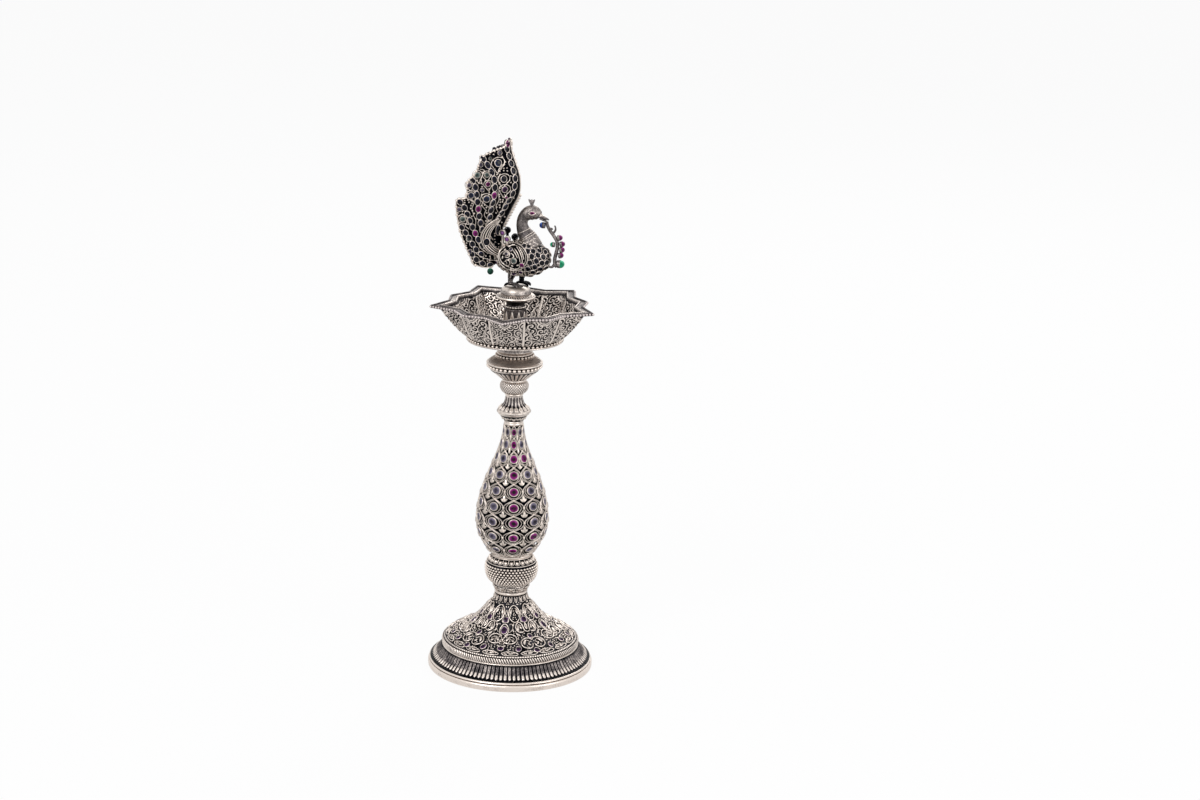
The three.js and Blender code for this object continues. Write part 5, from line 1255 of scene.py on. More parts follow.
def disc_hatching(a, r, z):
    """Slanting cuts on the top of the disc's edge, wave(48 a / 2 pi + 0.6 z)."""
    x = wave(DISC_CUTS * a / (2 * math.pi) + z * 0.6)
    return 0.3 * (x / 0.5) * band(z, 228.4, 229.1, 0.15) * (r > 8)


def disc_shade(push, points):
    """Bright on the disc, black on the waist, and bright between the slanting cuts."""
    height = points[..., 2]
    hatched = band(height, 228.4, 229.15, 0.1)
    waist = 1 - step(height, 226.2, 227.0)
    return (1 - hatched) * (0.95 - 0.85 * waist) + hatched * (5.2 * push - 0.15)


disc = turned(disc_line, 420, 0.15, disc_hatching, disc_shade, POST_BORE)
piece("hatched_disc", [disc], "finial", ("finial_disc",))
PERCH = 234.4  # top of the dome, on which the bird stands
perch_line = rounded([(8.9, 229.3), (9.0, 230.2, 0.3), (8.6, 232.0, 0.8), (7.0, 233.6, 0.8),
                      (5.6, 234.3, 0.5), (0.4, PERCH)])
perch_line = dense(np.vstack([[(0.4, 229.3)], perch_line]), 0.3)


def perch_shade(push, points):
    """Dull on the sides and brighter on the crown."""
    return 0.5 + 0.35 * step(points[..., 2], 231.5, 233.5)


perch = revolve(perch_line, 96, closed=False, shade=perch_shade)
piece("plain_dome", [perch], "finial", ("finial_dome",))

# Body of the peacock: cast silver with a black ground. The breast has scales with dark blue
# stones, and the rump small leaves. The bird's own frame has x to its beak, y to its left and
# heights above the dome's top; pieces of its right side are mirrored for the left.
sapphire = stone_finish("sapphire_stone", "sapphire", "010206", "0b0b18", "363a5c")
TURN = math.radians(15)


def perched(part, left=False):
    """A part from the peacock's frame to the lamp's; left gives its mirror image."""
    points, faces, shade = part
    if left:
        points, faces = points * (1, -1, 1), [f[:, ::-1] for f in faces]
    x, y, h = points.T
    across = x * math.cos(TURN) + y * math.sin(TURN)
    back = y * math.cos(TURN) - x * math.sin(TURN)
    return np.stack([across, back, h + PERCH], -1), faces, shade


def bird_piece(name, parts, nodes=(), both=False, **looks):
    """Pieces of the finial: the right-hand one as given, and its mirror image if both."""
    if not both:
        piece(name, [perched(p) for p in parts], "finial", nodes, **looks)
        return
    for side in ("right", "left"):
        piece(f"{side}_{name}", [perched(p, side == "left") for p in parts], "finial",
              [f"{side}_{n}" for n in nodes], **looks)


def place_loft(stations):
    """Chart (s, v) of a tube through stations (x, y, height, half width, half height): s runs
    from 0 to 1 along it, and v is the angle up from its right-hand side."""
    stations = np.asarray(stations, float)
    fine = spline(stations, 12 * len(stations))
    path, sizes = fine[:, :3], np.maximum(fine[:, 3:], 0.05)
    tangent = unit(np.gradient(path, axis=0))
    up = unit(np.cross(tangent, np.array([0, 1.0, 0])))
    side = np.cross(up, tangent)
    table = np.concatenate([path, sizes, up, side], 1)

    def place(s, v):
        """Point at s along the tube and angle v."""
        s, v = np.broadcast_arrays(np.asarray(s, float), np.asarray(v, float))
        at = np.clip(s, 0, 1) * (len(table) - 1)
        i = np.minimum(at.astype(int), len(table) - 2)
        t = (at - i)[..., None]
        row = table[i] * (1 - t) + table[i + 1] * t
        return (row[..., :3] - row[..., 8:] * row[..., 3:4] * np.cos(v)[..., None]
                + row[..., 5:8] * row[..., 4:5] * np.sin(v)[..., None])

    return place


def loft(stations, rows=60, sides=48, relief=None, shade=None):
    """Closed tube through stations, with flat ends and the relief pushed along its normals."""
    place = place_loft(stations)
    s = np.linspace(0, 1, rows)[:, None] + np.zeros((1, sides))
    v = np.arange(sides)[None, :] * 2 * math.pi / sides + np.zeros((rows, 1))
    points = place(s, v)
    round_it = np.roll(points, -1, 1) - np.roll(points, 1, 1)
    normals = unit(np.cross(np.gradient(points, axis=0), round_it))
    push = relief(s, v) if relief else np.zeros((rows, sides))
    moved = points + normals * push[..., None]
    tone = shade(s, v, push) if shade else np.full((rows, sides), 0.7)
    flat = moved.reshape(-1, 3)
    faces = facing_out(flat, tube_faces(rows, sides))
    return flat, faces, np.ravel(tone + np.zeros((rows, sides)))


FLANK_RADIUS = 9.5
BODY = [(-12.5, 0, 17.5, 2.5, 3.0), (-9, 0, 17, 6, 6.5), (-4, 0, 16.6, 8.6, 9),
        (2, 0, 16.6, 9.6, 10.2), (8, 0, 16.9, 9.2, 10.5), (13, 0, 18, 7.4, 9.0),
        (16.5, 0, 19.6, 4.9, 6.5), (18.7, 0, 21, 2.2, 3.0)]
body_chart = place_loft(BODY)
body_x = body_chart(np.linspace(0, 1, 300), 0.0)[:, 0]


def on_body(x, v):
    """Point of the right flank at x and an angle v above its side."""
    return body_chart(np.interp(x, body_x, np.linspace(0, 1, 300)), v)


def on_flank(u, v):
    """The same chart with v in millimetres up the flank from its middle."""
    return on_body(u, v / FLANK_RADIUS)


def millimetres(u, v):
    """Scale of a chart whose units are millimetres."""
    return 1.0


bird_piece("body_shell", [loft(BODY, 70, 72, shade=even(0.12))],
           ["peacock_body"], material=deep_silver)
breast, breast_stones = [], []
for row in range(8):
    level = -11.0 + row * 3.2
    for column in range(5):
        x = 8.4 + column * 3.3 + (row % 2) * 1.65 - max(level - 4, 0) * 0.35
        if x > 18.3 or (level < -9 and x > 15):
            continue
        size = 1.0 if x < 16.8 else 0.85
        spot = (x, level, 90, 2.05 * size, 1.72 * size)
        bezels, stones = set_stone(on_flank, [spot], collar=0.2, rise=0.8)
        breast += bezels
        breast_stones += stones
rump = fillers(millimetres, (-11.5, 9.0), (-13.0, 13.0), 1.5, 0.5, np.zeros((1, 2)), seed=11)
random = np.random.default_rng(5)
number = len(rump)
rump_leaves = np.column_stack([rump, random.uniform(0, 360, number), random.uniform(1.3, 2.0, number),
                               random.uniform(0.8, 1.1, number), np.full(number, 0.6)])
breast += placed(on_flank, leaf, rump_leaves)
bird_piece("breast_scales", breast, both=True)
bird_piece("breast_stones", breast_stones, both=True, material=sapphire)

# Neck and head: one silver casting, cut with fine crossing lines, and soldered to the body
# under collars and leaves. The beak is tarnished, and the eye a red stone between lids.
tarnished_silver = silver_finish("tarnished_silver", "18171a", "696363", "c2b8b5", 0.38, level=0.41)
deep_ruby = stone_finish("deep_ruby_stone", "ruby", "080106", "560d47", "a8388c")
NECK = [(9.5, 0, 23, 6.2, 6.2), (7.1, 0, 28, 5, 5.3), (4.2, 0, 32.5, 3.6, 3.9),
        (3.1, 0, 36.5, 3.1, 3.2), (3.9, 0, 40.3, 3, 3.2), (6.7, 0, 43, 3.6, 3.9),
        (9.8, 0, 43.6, 3.6, 4.2), (12.8, 0, 42.6, 2.5, 2.9), (14.4, 0, 41.8, 1.3, 1.4),
        (16.6, 0, 41, 0.9, 0.9), (18.6, 0, 40.3, 0.4, 0.4)]


def neck_lines(s, v):
    """Shallow cuts crossing at a slant: the smaller of two waves of (turn +- length)."""
    a, b = wave(11 * v / math.pi + 60 * s), wave(11 * v / math.pi - 60 * s)
    return 0.14 * np.minimum(np.minimum(a, b) / 0.25, 1) * (1 - step(s, 0.72, 0.76))


def neck_shade(s, v, push):
    """Bright between the cuts, and 0.62 on the beak, past s = 0.75."""
    return np.where(s < 0.75, 0.22 + 2.2 * push, 0.62)


bird_piece("neck_casting", [loft(NECK, 260, 144, neck_lines, neck_shade)], ["neck_and_head"])
on_neck = place_loft(NECK)
collars = []
for s0 in (0.115, 0.135, 0.20):
    v = np.linspace(0, 2 * math.pi, 91)[:-1]
    points, normals = chart(on_neck, s0 + 0 * v, v)
    collars.append(wire(points, normals, 0.55, 0.6, closed=True))
bird_piece("neck_collars", collars)
shoulder = [(0.02 + 0.03 * k, -0.9 + 0.45 * j + 0.22 * (k % 2), 60 + 50 * (j % 2), 1.7, 0.9, 0.6)
            for k in range(3) for j in range(5)]
bird_piece("shoulder_leaves", placed(on_neck, leaf, shoulder), both=True)


def on_cheek(u, v):
    """Right side of the head, u and v in millimetres from the eye, u to the beak. The side lies at
    y = -3.75 + 0.09 d^2, with d from the cheek's middle."""
    x, h = 9.9 + u, 43.9 + v
    return np.stack([x, -3.75 + 0.09 * ((x - 9.6) ** 2 + (h - 43.6) ** 2), h + 0 * x], -1)


almond = curves([[(-2.0, -0.2), (-0.9, 0.85), (0.5, 0.95), (2.1, 0.1)],
                 [(-2.0, -0.2), (-0.7, -0.9), (0.7, -0.85), (2.1, 0.1)]], 16)
bird_piece("eye_lids", drawn(on_cheek, almond, 0.5, 0.5), both=True)
eye = set_stone(on_cheek, [(0.1, 0.02, 10, 1.35, 0.95)], collar=0.15, rise=0.75)[1]
bird_piece("eye_stone", eye, ["eye_ruby"], both=True, material=deep_ruby)
UPPER_BEAK = [(13.6, 0, 41.9, 1.5, 1.1), (16.0, 0, 41.0, 1.25, 0.95), (18.0, 0, 40.4, 0.8, 0.7),
              (19.2, 0, 39.9, 0.3, 0.3)]
LOWER_BEAK = [(13.8, 0, 40.6, 1.2, 0.8), (16.0, 0, 39.6, 1.0, 0.6), (17.8, 0, 38.9, 0.6, 0.45)]
bird_piece("beak", [loft(UPPER_BEAK, 30, 20), loft(LOWER_BEAK, 24, 20)], material=tarnished_silver)

# Crest: a stalk that opens into a forked tuft, cast in silver, tarnished, and soldered to the
# crown of the head.
crest = [loft([(9.1, 0, 46.0, 0.9, 1.0), (8.8, 0, 48.2, 0.8, 1.0), (8.7, 0, 49.6, 0.9, 1.3)], 20, 24)]
for lean in (-1.0, 0.0, 0.9):
    tuft = [(8.7, 0, 49.0, 0.8, 0.9), (8.7 + lean, 0, 50.2, 0.75, 0.8),
            (8.7 + 1.9 * lean, 0, 51.3, 0.4, 0.3)]
    crest.append(loft(tuft, 16, 18))
bird_piece("crest_tuft", crest, ["crest"], material=tarnished_silver)

# Legs: cast silver, with ridged thighs, ringed shanks and long toes soldered to the dome.
# The far leg is black. A violet stone is set on each thigh.
FRONT_TOE, BACK_TOE = 5.6, 3.6


def ridges_and_rings(s, v):
    """Ridges along the thigh, cos(6 v), and rings round the shank, cos(60 s)."""
    return 0.16 * np.cos(6 * v) * (s < 0.55) + 0.14 * np.cos(60 * s) * (s >= 0.55)


for name, x, y, finish in (("right", -2.5, -3.2, silver), ("left", 2.5, 3.2, black_silver)):
    stations = [(x + 1.9, 0.75 * y, 11.5, 2.7, 3.2), (x + 1.0, 0.9 * y, 8.0, 2.3, 2.6),
                (x + 0.3, y, 5.2, 1.8, 1.9), (x, y, 3.6, 1.5, 1.5), (x, y, 1.4, 1.6, 1.6)]
    limb = [loft(stations, 40, 28, ridges_and_rings, lambda s, v, push: 0.27 + 2.0 * push)]
    for angle in (-0.55, 0.0, 0.55, math.pi):
        long = BACK_TOE if angle == math.pi else FRONT_TOE
        toe = [(x + way * math.cos(angle), y + way * math.sin(angle), height, wide, tall)
               for way, height, wide, tall in ((-0.5, 1.3, 1.0, 0.9), (0.45 * long, 1.2, 0.9, 0.8),
                                               (0.8 * long, 0.6, 0.75, 0.7), (long, -0.3, 0.35, 0.4))]
        # Toes are painted brighter on top and darker below: a painted highlight and painted shade.
        limb.append(loft(toe, 24, 16, shade=lambda s, v, push: 0.12 + 0.3 * np.sin(v)))
    bird_piece(f"{name}_leg_casting", limb, [f"{name}_leg"], material=finish)
THIGH, THIGH_OUT = (0.1, -5.3, 8.3), (0.2, -1.0, -0.1)
thigh_stone = scatter(gem, THIGH, THIGH_OUT, (1.0, 0, 0), (1.15, 1.15, 0.9))
thigh_bezel = scatter(bezel, THIGH, THIGH_OUT, (1.0, 0, 0), (1.6, 1.6, 0.9))
bird_piece("thigh_bezel", [thigh_bezel], both=True)
bird_piece("thigh_stone", [thigh_stone], both=True, material=amethyst)

# Tail: two black silver fans that leave the spine and bend back, covered with rows of dark
# stones in bezels. Eyes with larger stones stand between them, with lace of wire and grains.
dusk_stone = stone_finish("dusk_stone", "sapphire", "03050c", "1a2138", "4f5d86")
moonstone = stone_finish("grey_green_stone", "ruby", "1f2624", "63726e", "b4c2bc")
SPINE = [(-8.6, 28), (-8.6, 33.9), (-3.1, 45.7), (1, 54.5), (1.3, 62.6), (-0.4, 69.2), (-3.8, 78.4),
         (-4.9, 85.4)]
spine_line = spline(SPINE, 120)
# Lines of (x, height) points from the fan's root to its edge, the spine first.
FAN_LINES = [
    SPINE,
    [(-8.8, 26.5), (-9, 34), (-5.8, 48), (-3.1, 62), (-7.4, 81.7)],
    [(-9, 25), (-9.6, 34), (-9.2, 50), (-7.8, 62), (-12.2, 79.9)],
    [(-9.5, 23), (-11.2, 32), (-12.9, 46), (-12, 60), (-17.6, 76.4)],
    [(-9.5, 22), (-12.6, 32), (-16.2, 46), (-16.8, 56), (-20.9, 67.4)],
    [(-9.5, 21), (-14.2, 31.5), (-19.5, 43), (-24.8, 62.5)],
    [(-9.5, 20.2), (-15.2, 29), (-21.2, 39), (-25.7, 53.6)],
    [(-9.5, 19.5), (-16.2, 26.6), (-23, 35), (-31, 51.4)],
    [(-9.5, 18), (-15, 21.5), (-22, 25.5), (-30.3, 37)],
    [(-9.5, 16), (-14, 16.5), (-20, 19), (-27, 25.5)],
    [(-9.5, 14), (-12, 12.2), (-16, 11.2), (-22, 13.2)],
]
FAN_START, FAN_SWEEP, FAN_FOLD = 1.9, 21.0, 18.0


def on_fan(x, h):
    """Outer face of the right fan: y = -(1.9 + 21 (1 - exp(-d / 18))), d behind the spine."""
    d = np.maximum(np.interp(h, spine_line[:, 1], spine_line[:, 0]) - x, 0)
    return np.stack([x + 0 * h, -(FAN_START + FAN_SWEEP * (1 - np.exp(-d / FAN_FOLD))), h + 0 * x], -1)


FAN_STEPS, FAN_ROWS, FAN_SHEET = 48, 64, 0.9
ribs = np.array([spline(line, FAN_STEPS) for line in FAN_LINES])
web = np.stack([spline(ribs[:, k], FAN_ROWS) for k in range(FAN_STEPS)], 1)
fan_row = np.arange(FAN_ROWS)[:, None]
at_edge = (np.arange(FAN_STEPS) > FAN_STEPS - 4)[None]
scallops = 1 + 0.012 * np.abs(np.sin(fan_row * math.pi / 4.5)) * at_edge
web = web[:, :1] + (web - web[:, :1]) * scallops[..., None]
front = on_fan(web[..., 0], web[..., 1])
ground = np.concatenate([front, (front + (0, FAN_SHEET, 0))[::-1]])
fan_points = ground.reshape(-1, 3)
skin = grid_faces(2 * FAN_ROWS, FAN_STEPS, wrap_rows=True, wrap_columns=False)
below = np.arange(FAN_ROWS - 1)
behind = 2 * FAN_ROWS - 1 - below
root_seam = np.stack([below, below + 1, behind - 1, behind], -1) * FAN_STEPS
fan_faces = facing_out(fan_points, [skin, root_seam, (root_seam + FAN_STEPS - 1)[:, ::-1]])
quills = 0.3 + 0.24 * np.cos(fan_row[::-1] * 2 * math.pi / 5.8) + np.zeros((FAN_ROWS, FAN_STEPS))
fan_tone = np.concatenate([np.full((FAN_ROWS, FAN_STEPS), 0.02), quills]).ravel()
bird_piece("fan_ground", [(fan_points, fan_faces, fan_tone)], ["tail"], both=True, material=deep_silver)

# Rows of stones: the row's line, how many stones it has, and which of them are red.
FEATHERS = [
    ([(-10, 39.5), (-5.2, 48.4), (-1.5, 55.6), (-0.7, 63.6), (-3, 71.5), (-5.9, 80.5)], 11, ()),
    ([(-14.6, 36.8), (-12.7, 46.2), (-10.7, 54.5), (-10.6, 63.3), (-13.9, 71), (-17.2, 75.8)], 10, (4,)),
    ([(-18.1, 33.8), (-19.1, 42.9), (-19.5, 51.9), (-20.7, 60.4), (-22.1, 63.6)], 8, (3,)),
    ([(-18.1, 24.3), (-21.6, 31.8), (-24.4, 40.8), (-27, 48.3), (-29, 50.8)], 8, (2,)),
    ([(-18.4, 19.3), (-21.1, 22.3), (-25.4, 30.2), (-28.7, 35.6)], 6, ()),
    ([(-13.9, 12.5), (-17.3, 13.6), (-20.5, 15.9), (-23.2, 19.6)], 4, ()),
    ([(-10.5, 33), (-10.6, 36.5), (-10, 39.5)], 2, ()),
    ([(-15.3, 30), (-14.9, 33.5), (-14.6, 36.8)], 2, ()),
]
fan_wires, fan_bezels, dark_stones, red_tail, covered = [], [], [], [], []
for line, number, red in FEATHERS:
    curve = spline(line, 200)
    way = np.concatenate([[0], np.cumsum(np.linalg.norm(np.diff(curve, axis=0), axis=1))])
    pitch = way[-1] / (number - 1)
    for k in range(number):
        near = [max(k * pitch - 0.2, 0), k * pitch, min(k * pitch + 0.2, way[-1])]
        xs, hs = (np.interp(near, way, curve[:, axis]) for axis in (0, 1))
        x, h = float(xs[1]), float(hs[1])
        angle = math.degrees(math.atan2(hs[2] - hs[0], xs[2] - xs[0]))
        bezels, stones = set_stone(on_fan, [(x, h, angle, 0.54 * pitch, 1.75)], collar=0.48, rise=0.95)
        fan_bezels += bezels
        (red_tail if k in red else dark_stones).extend(stones)
        covered.append((x, h, 2.0))
# Eyes: x, height, half size of the bezel, and the colour of the stone.
EYES = [
    (-9.5, 73, 2.3, dusk_stone), (-6.1, 63.9, 2.1, sapphire), (-5.5, 57.9, 2.0, amethyst),
    (-13.9, 61.3, 1.6, ruby), (-14.7, 52.8, 2.2, dusk_stone), (-19.7, 66.6, 1.9, moonstone),
    (-24, 60.9, 1.6, lavender), (-22.9, 54.9, 1.9, dusk_stone), (-27.9, 40.7, 1.9, moonstone),
    (-18.2, 72.3, 1.4, lavender), (-14.7, 66.6, 1.6, moonstone), (-16.9, 58, 1.3, lavender),
    (-29.6, 46.5, 1.5, lavender), (-9.2, 78.6, 1.5, lavender), (-13.6, 75.7, 1.0, moonstone),
    (-4.9, 53.2, 1.0, ruby), (-25.2, 28.2, 1.3, moonstone), (-24.2, 21.4, 1.3, lavender),
]
FRAMED = 1.55  # an eye at least this large has a drop-shaped frame of wire
EYE_FRAME = [(2.5, 0), (1.3, -0.75), (0.2, -1.42), (-0.95, -1.05), (-1.4, 0), (-0.95, 1.05), (0.2, 1.42),
             (1.3, 0.75), (2.5, 0)]


def sort_in(groups, colour, stones):
    """Adds stones to the group of their colour."""
    groups.setdefault(colour.name, (colour, []))[1].extend(stones)


def bird_stones(name, groups):
    """One pair of pieces for each colour of stone."""
    for number, (colour, stones) in enumerate(groups.values(), 1):
        bird_piece(f"{name}_{number}", stones, both=True, material=colour)


eye_stones = {}
root = np.array([-9.5, 22.0])
for x, h, size, colour in EYES:
    bezels, stones = set_stone(on_fan, [(x, h, 0, size, size)], collar=0.4, rise=1.15)
    fan_bezels += bezels
    sort_in(eye_stones, colour, stones)
    covered.append((x, h, size))
    if size < FRAMED:
        continue
    down = unit(root - (x, h))
    side = np.array([-down[1], down[0]])
    frame_line = [np.array([x, h]) + size * (a * down + b * side) for a, b in EYE_FRAME]
    fan_wires += drawn(on_fan, curves([frame_line], 40), 0.5, 0.8)
# Curls of wire between the rows of stones.
LACE = [[(-8.2, 43), (-6.8, 48), (-4.8, 51.5), (-5.6, 55)],
        [(-9.2, 66.5), (-8.6, 70), (-6.4, 73), (-8, 77)],
        [(-15.6, 46), (-17.2, 49), (-16.4, 52), (-17.6, 55)],
        [(-21.8, 43), (-22.6, 47), (-21.4, 50.5), (-22.6, 52.5)], [(-21.4, 36), (-21, 40), (-22.2, 43)],
        [(-24.8, 34.5), (-26.6, 36.6), (-25.8, 39), (-27.2, 43.5)],
        [(-16.8, 61), (-17.6, 64), (-16.2, 69), (-18.4, 70)],
        [(-9.5, 44), (-10.2, 48), (-8.4, 52), (-8.8, 57)],
        [(-15.2, 40), (-16.4, 43), (-15.2, 46)], [(-8.2, 60.8), (-8.6, 64), (-8, 67)],
        [(-12.6, 27), (-15.6, 33), (-16.4, 38)], [(-13.5, 23), (-17.8, 30.5), (-19.4, 36)],
        [(-13, 18.5), (-17.4, 21.5), (-20.2, 26)], [(-12.4, 15), (-17, 17), (-21, 20)]]
fan_wires += drawn(on_fan, curves(LACE, 30), 0.5, 0.75)
rim = np.vstack([ribs[0, -1:], spline([r[-1] for r in ribs], 160)[1:], ribs[-1, ::-1][1:30]])
fan_wires += drawn(on_fan, [rim], 0.7, 0.9)
covered = np.array(covered)
loose = []
FAR_OFF = np.full((1, 2), 999.0)
for spot in fillers(millimetres, (-31.0, 0.0), (11.5, 84.0), 1.8, 0.0, FAR_OFF, seed=21):
    clear = (np.hypot(*(covered[:, :2] - spot).T) - covered[:, 2]).min() > 0.45
    near = np.linalg.norm(web[::2, ::2].reshape(-1, 2) - spot, axis=1).min() < 1.2
    if clear and near and spot[0] < np.interp(spot[1], spine_line[:, 1], spine_line[:, 0]) - 1.2:
        loose.append((*spot, 0, 0.52, 0.52, 0.85))
fan_wires += placed(on_fan, bead, loose)
knob_spots = [(*p, 0, 0.85, 0.85, 0.9) for p in rim[6:165:5]]
fan_wires += placed(on_fan, grain, knob_spots)
bird_piece("fan_wires", fan_wires, both=True)
bird_piece("fan_bezels", fan_bezels, both=True)
bird_piece("fan_dark_stones", dark_stones, both=True, material=sapphire)
bird_piece("fan_red_stones", red_tail, both=True, material=ruby)
bird_stones("fan_eyes", eye_stones)
tip_bezel, tip_stone = set_stone(on_fan, [(-5.7, 83.4, 100, 2.5, 1.7)], collar=0.4, rise=1.1)
bird_piece("tail_tip_bezel", tip_bezel, both=True)
bird_piece("tail_tip_stone", tip_stone, ["tail_tip_ruby"], material=ruby)
tip_points, tip_faces, tip_shade = tip_stone[0]
left_tip_stone = (tip_points * (1, -1, 1), [f[:, ::-1] for f in tip_faces], tip_shade)
bird_piece("left_tail_tip_stone", [left_tip_stone], material=ruby)

# Spine of the tail: a black cast strip between the fans with a bright silver wire along its
# back and a row of beads soldered to its lower front.
slim = np.linspace(1, 0.6, 24)
spine_path = spline([(-7.5, 20)] + SPINE, 24)
strip = loft([(x - 0.9, 0, h, 1.7 * k, 1.3 * k) for (x, h), k in zip(spine_path, slim)], 90, 24,
             shade=even(0.15))
bright = loft([(x + 0.2, 0, h, 0.5 * k, 0.5 * k) for (x, h), k in zip(spine_path, slim)], 90, 16,
              shade=even(0.95))
knob_heights = np.arange(34.5, 53.5, 1.7)
knob_x = np.interp(knob_heights, spine_line[:, 1], spine_line[:, 0]) + 1.0
knob_spots = np.stack([knob_x, np.full(len(knob_x), 0.7), knob_heights], -1)
knobs = scatter(bead, knob_spots, (0.6, -0.6, 0.2), (0, 0, 1.0), (0.95, 0.9, 0.9))
bird_piece("spine_strip", [strip, bright, knobs], ["tail_spine"])

# Plumes: curled silver feathers on both sides of the rump, chased along their length, with a
# dark blue stone on each.
PLUME = [(-7.5, -3.5, 18.5, 1, 1.6), (-11.2, -8.2, 21, 1.2, 2.2), (-14.4, -10.6, 24.8, 1.2, 2.6),
         (-15.8, -11.4, 29.2, 1.1, 2.7), (-14.4, -11.2, 33.6, 0.9, 2.2), (-11.4, -10.4, 37.4, 0.8, 1.5),
         (-7.9, -9.4, 40.4, 0.4, 0.6)]
PLUME_FACE = -12.4


def barbs(s, v):
    """Lines along the feather, cos(11 v + 1.5 sin(3 s))."""
    return 0.3 * np.cos(11 * v + 1.5 * np.sin(3 * s))


def beside_plume(x, h):
    """The upright plane in which the plume's stone is set."""
    return np.stack([x, PLUME_FACE + 0 * x, h], -1)


feather = loft(PLUME, 120, 90, barbs, lambda s, v, push: 0.42 + 2.1 * push)
bezels, plume_stone = set_stone(beside_plume, [(-14.3, 27.3, 80, 2.5, 2.1)], collar=0.45, rise=1.5)
bird_piece("plume_feather", [feather] + bezels, ["plume"], both=True)
bird_piece("plume_stone", plume_stone, both=True, material=sapphire)

# Wings: oval black plates riveted to the flanks, with a double rim, scrolls and feather lines
# of silver wire soldered on, and stones of four colours in bezels. Violet stones stand round
# them on the flanks.
WING_X, WING_H, WING_LONG, WING_TALL = 0.8, 18.4, 8.8, 7.6


def on_wing(x, h):
    """The body's flank at x and height h, moved out by the plate."""
    sizes = np.array([np.interp(x, [b[0] for b in BODY], [b[k] for b in BODY]) for k in (2, 3, 4)])
    across = np.clip((h - sizes[0]) / sizes[2], -0.95, 0.95)
    return np.stack([x + 0 * h, -(sizes[1] * np.sqrt(1 - across**2) + 1.5), h + 0 * x], -1)


OVAL_SIDES, WING_PLATE = 72, 1.6
turn = np.arange(OVAL_SIDES) * 2 * math.pi / OVAL_SIDES
ovals = [on_wing(WING_X + WING_LONG * share * np.cos(turn), WING_H + WING_TALL * share * np.sin(turn))
         for share in (1.0, 0.985, 0.8, 0.6, 0.4, 0.2, 0.03)]
ovals += [oval + (0, WING_PLATE, 0) for oval in ovals[::-1]]
plate = np.concatenate(ovals)
cap = np.arange(OVAL_SIDES)[None]
last_cap = (len(ovals) - 1) * OVAL_SIDES + cap
plate_faces = facing_out(plate, [grid_faces(len(ovals), OVAL_SIDES), cap, last_cap])
bird_piece("wing_plate", [(plate, plate_faces, np.full(len(plate), 0.05))], ["wing"], both=True,
           material=deep_silver)
arc = np.linspace(math.radians(-105), math.radians(100), 60)
rims = [np.stack([WING_X + k * WING_LONG * np.cos(arc), WING_H + k * WING_TALL * np.sin(arc)], -1)
        for k in (0.97, 0.86)]
wing_lines = drawn(on_wing, rims[:1], 0.6, 0.8) + drawn(on_wing, rims[1:], 0.35, 0.5)
# Scrolls and feather lines on the plate, as (x, height) points.
WING_SCROLLS = [
    [(-1.3, 12.7), (-5.9, 15), (-7.7, 18.2), (-6.2, 20.8), (-3.1, 21.9), (-1.3, 20.4), (-2, 18.4),
     (-4.1, 18.5)],
    [(-8.7, 26.4), (-7, 24.8), (-3.4, 24.2), (0.8, 25.2)],
    [(-7.7, 22.1), (-8.6, 18.8), (-7.7, 14.6), (-4.1, 11.7)],
    [(-10.6, 24), (-11.6, 22.6), (-10.8, 21), (-9.4, 21.6), (-9.6, 23.2)],
    [(-10.4, 19.6), (-11.4, 18.2), (-10.6, 16.6), (-9.2, 17.2), (-9.4, 18.8)],
    [(-4.4, 14.2), (-2.6, 13.4), (-1, 14.6), (-1.2, 16.4), (-2.8, 17), (-3.8, 16)],
    [(-1, 12.6), (1.6, 11.8), (4.2, 12.6), (5.4, 14.6)],
    [(2.2, 24.4), (4.6, 22), (6.2, 18.6), (6.6, 15.6)],
    [(1.2, 23.4), (3.4, 21.2), (4.8, 18.4), (5.2, 16.4)],
    [(0.6, 22.4), (2.4, 20.6), (3.6, 18.6)],
    [(3.6, 24.4), (6, 21.6), (7.4, 18)],
    [(-6.6, 13.2), (-8, 15.6), (-8.3, 18.6), (-7.4, 21.6), (-5, 23.6)],
    [(-5.4, 19.6), (-4.2, 21.2), (-2.4, 21.0), (-2.2, 19.6), (-3.4, 19.2)],
    [(-0.6, 20.8), (0.8, 20.2), (1.4, 18.9), (0.4, 18.4)],
]
wing_lines += drawn(on_wing, curves(WING_SCROLLS, 28), 0.62, 0.7)
# Stones on the plate (x, height, half size, colour), and round it on the flank (x, way up the
# flank, half size, colour).
WING_STONES = [(-0.8, 22.6, 1.2, lavender), (-3.2, 20.2, 1.2, lavender), (1.6, 16.9, 1.9, moonstone),
               (6.2, 14.7, 1.6, ruby), (-3.6, 15.2, 1.1, sapphire)]
BACK_STONES = [(-12.4, 4.2, 1.35, amethyst), (-11.2, 0.5, 1.35, amethyst), (4.6, -6.6, 1.5, amethyst),
               (0.8, -11.2, 1.5, amethyst), (-9.8, -5.0, 1.4, amethyst), (-8.6, 6.5, 1.3, amethyst)]
wing_stones = {}
for ground_of, settings_there in ((on_wing, WING_STONES), (on_flank, BACK_STONES)):
    for x, v, size, colour in settings_there:
        bezels, stones = set_stone(ground_of, [(x, v, 0, size, size)], collar=0.35, rise=1.1)
        wing_lines += bezels
        sort_in(wing_stones, colour, stones)
wing_leaves = [(-5.6, 18.0, 80, 2.2, 1.1, 0.8), (-1.2, 17.6, 20, 2.0, 1.0, 0.7),
               (3.8, 14.4, 20, 2.0, 1.0, 0.7), (-2.4, 24.0, 20, 1.8, 0.9, 0.7),
               (0.4, 13.8, 150, 1.8, 0.9, 0.7), (-4.6, 22.2, 50, 1.8, 0.8, 0.7)]
wing_lines += placed(on_wing, leaf, wing_leaves)
bird_piece("wing_wires", wing_lines, both=True)
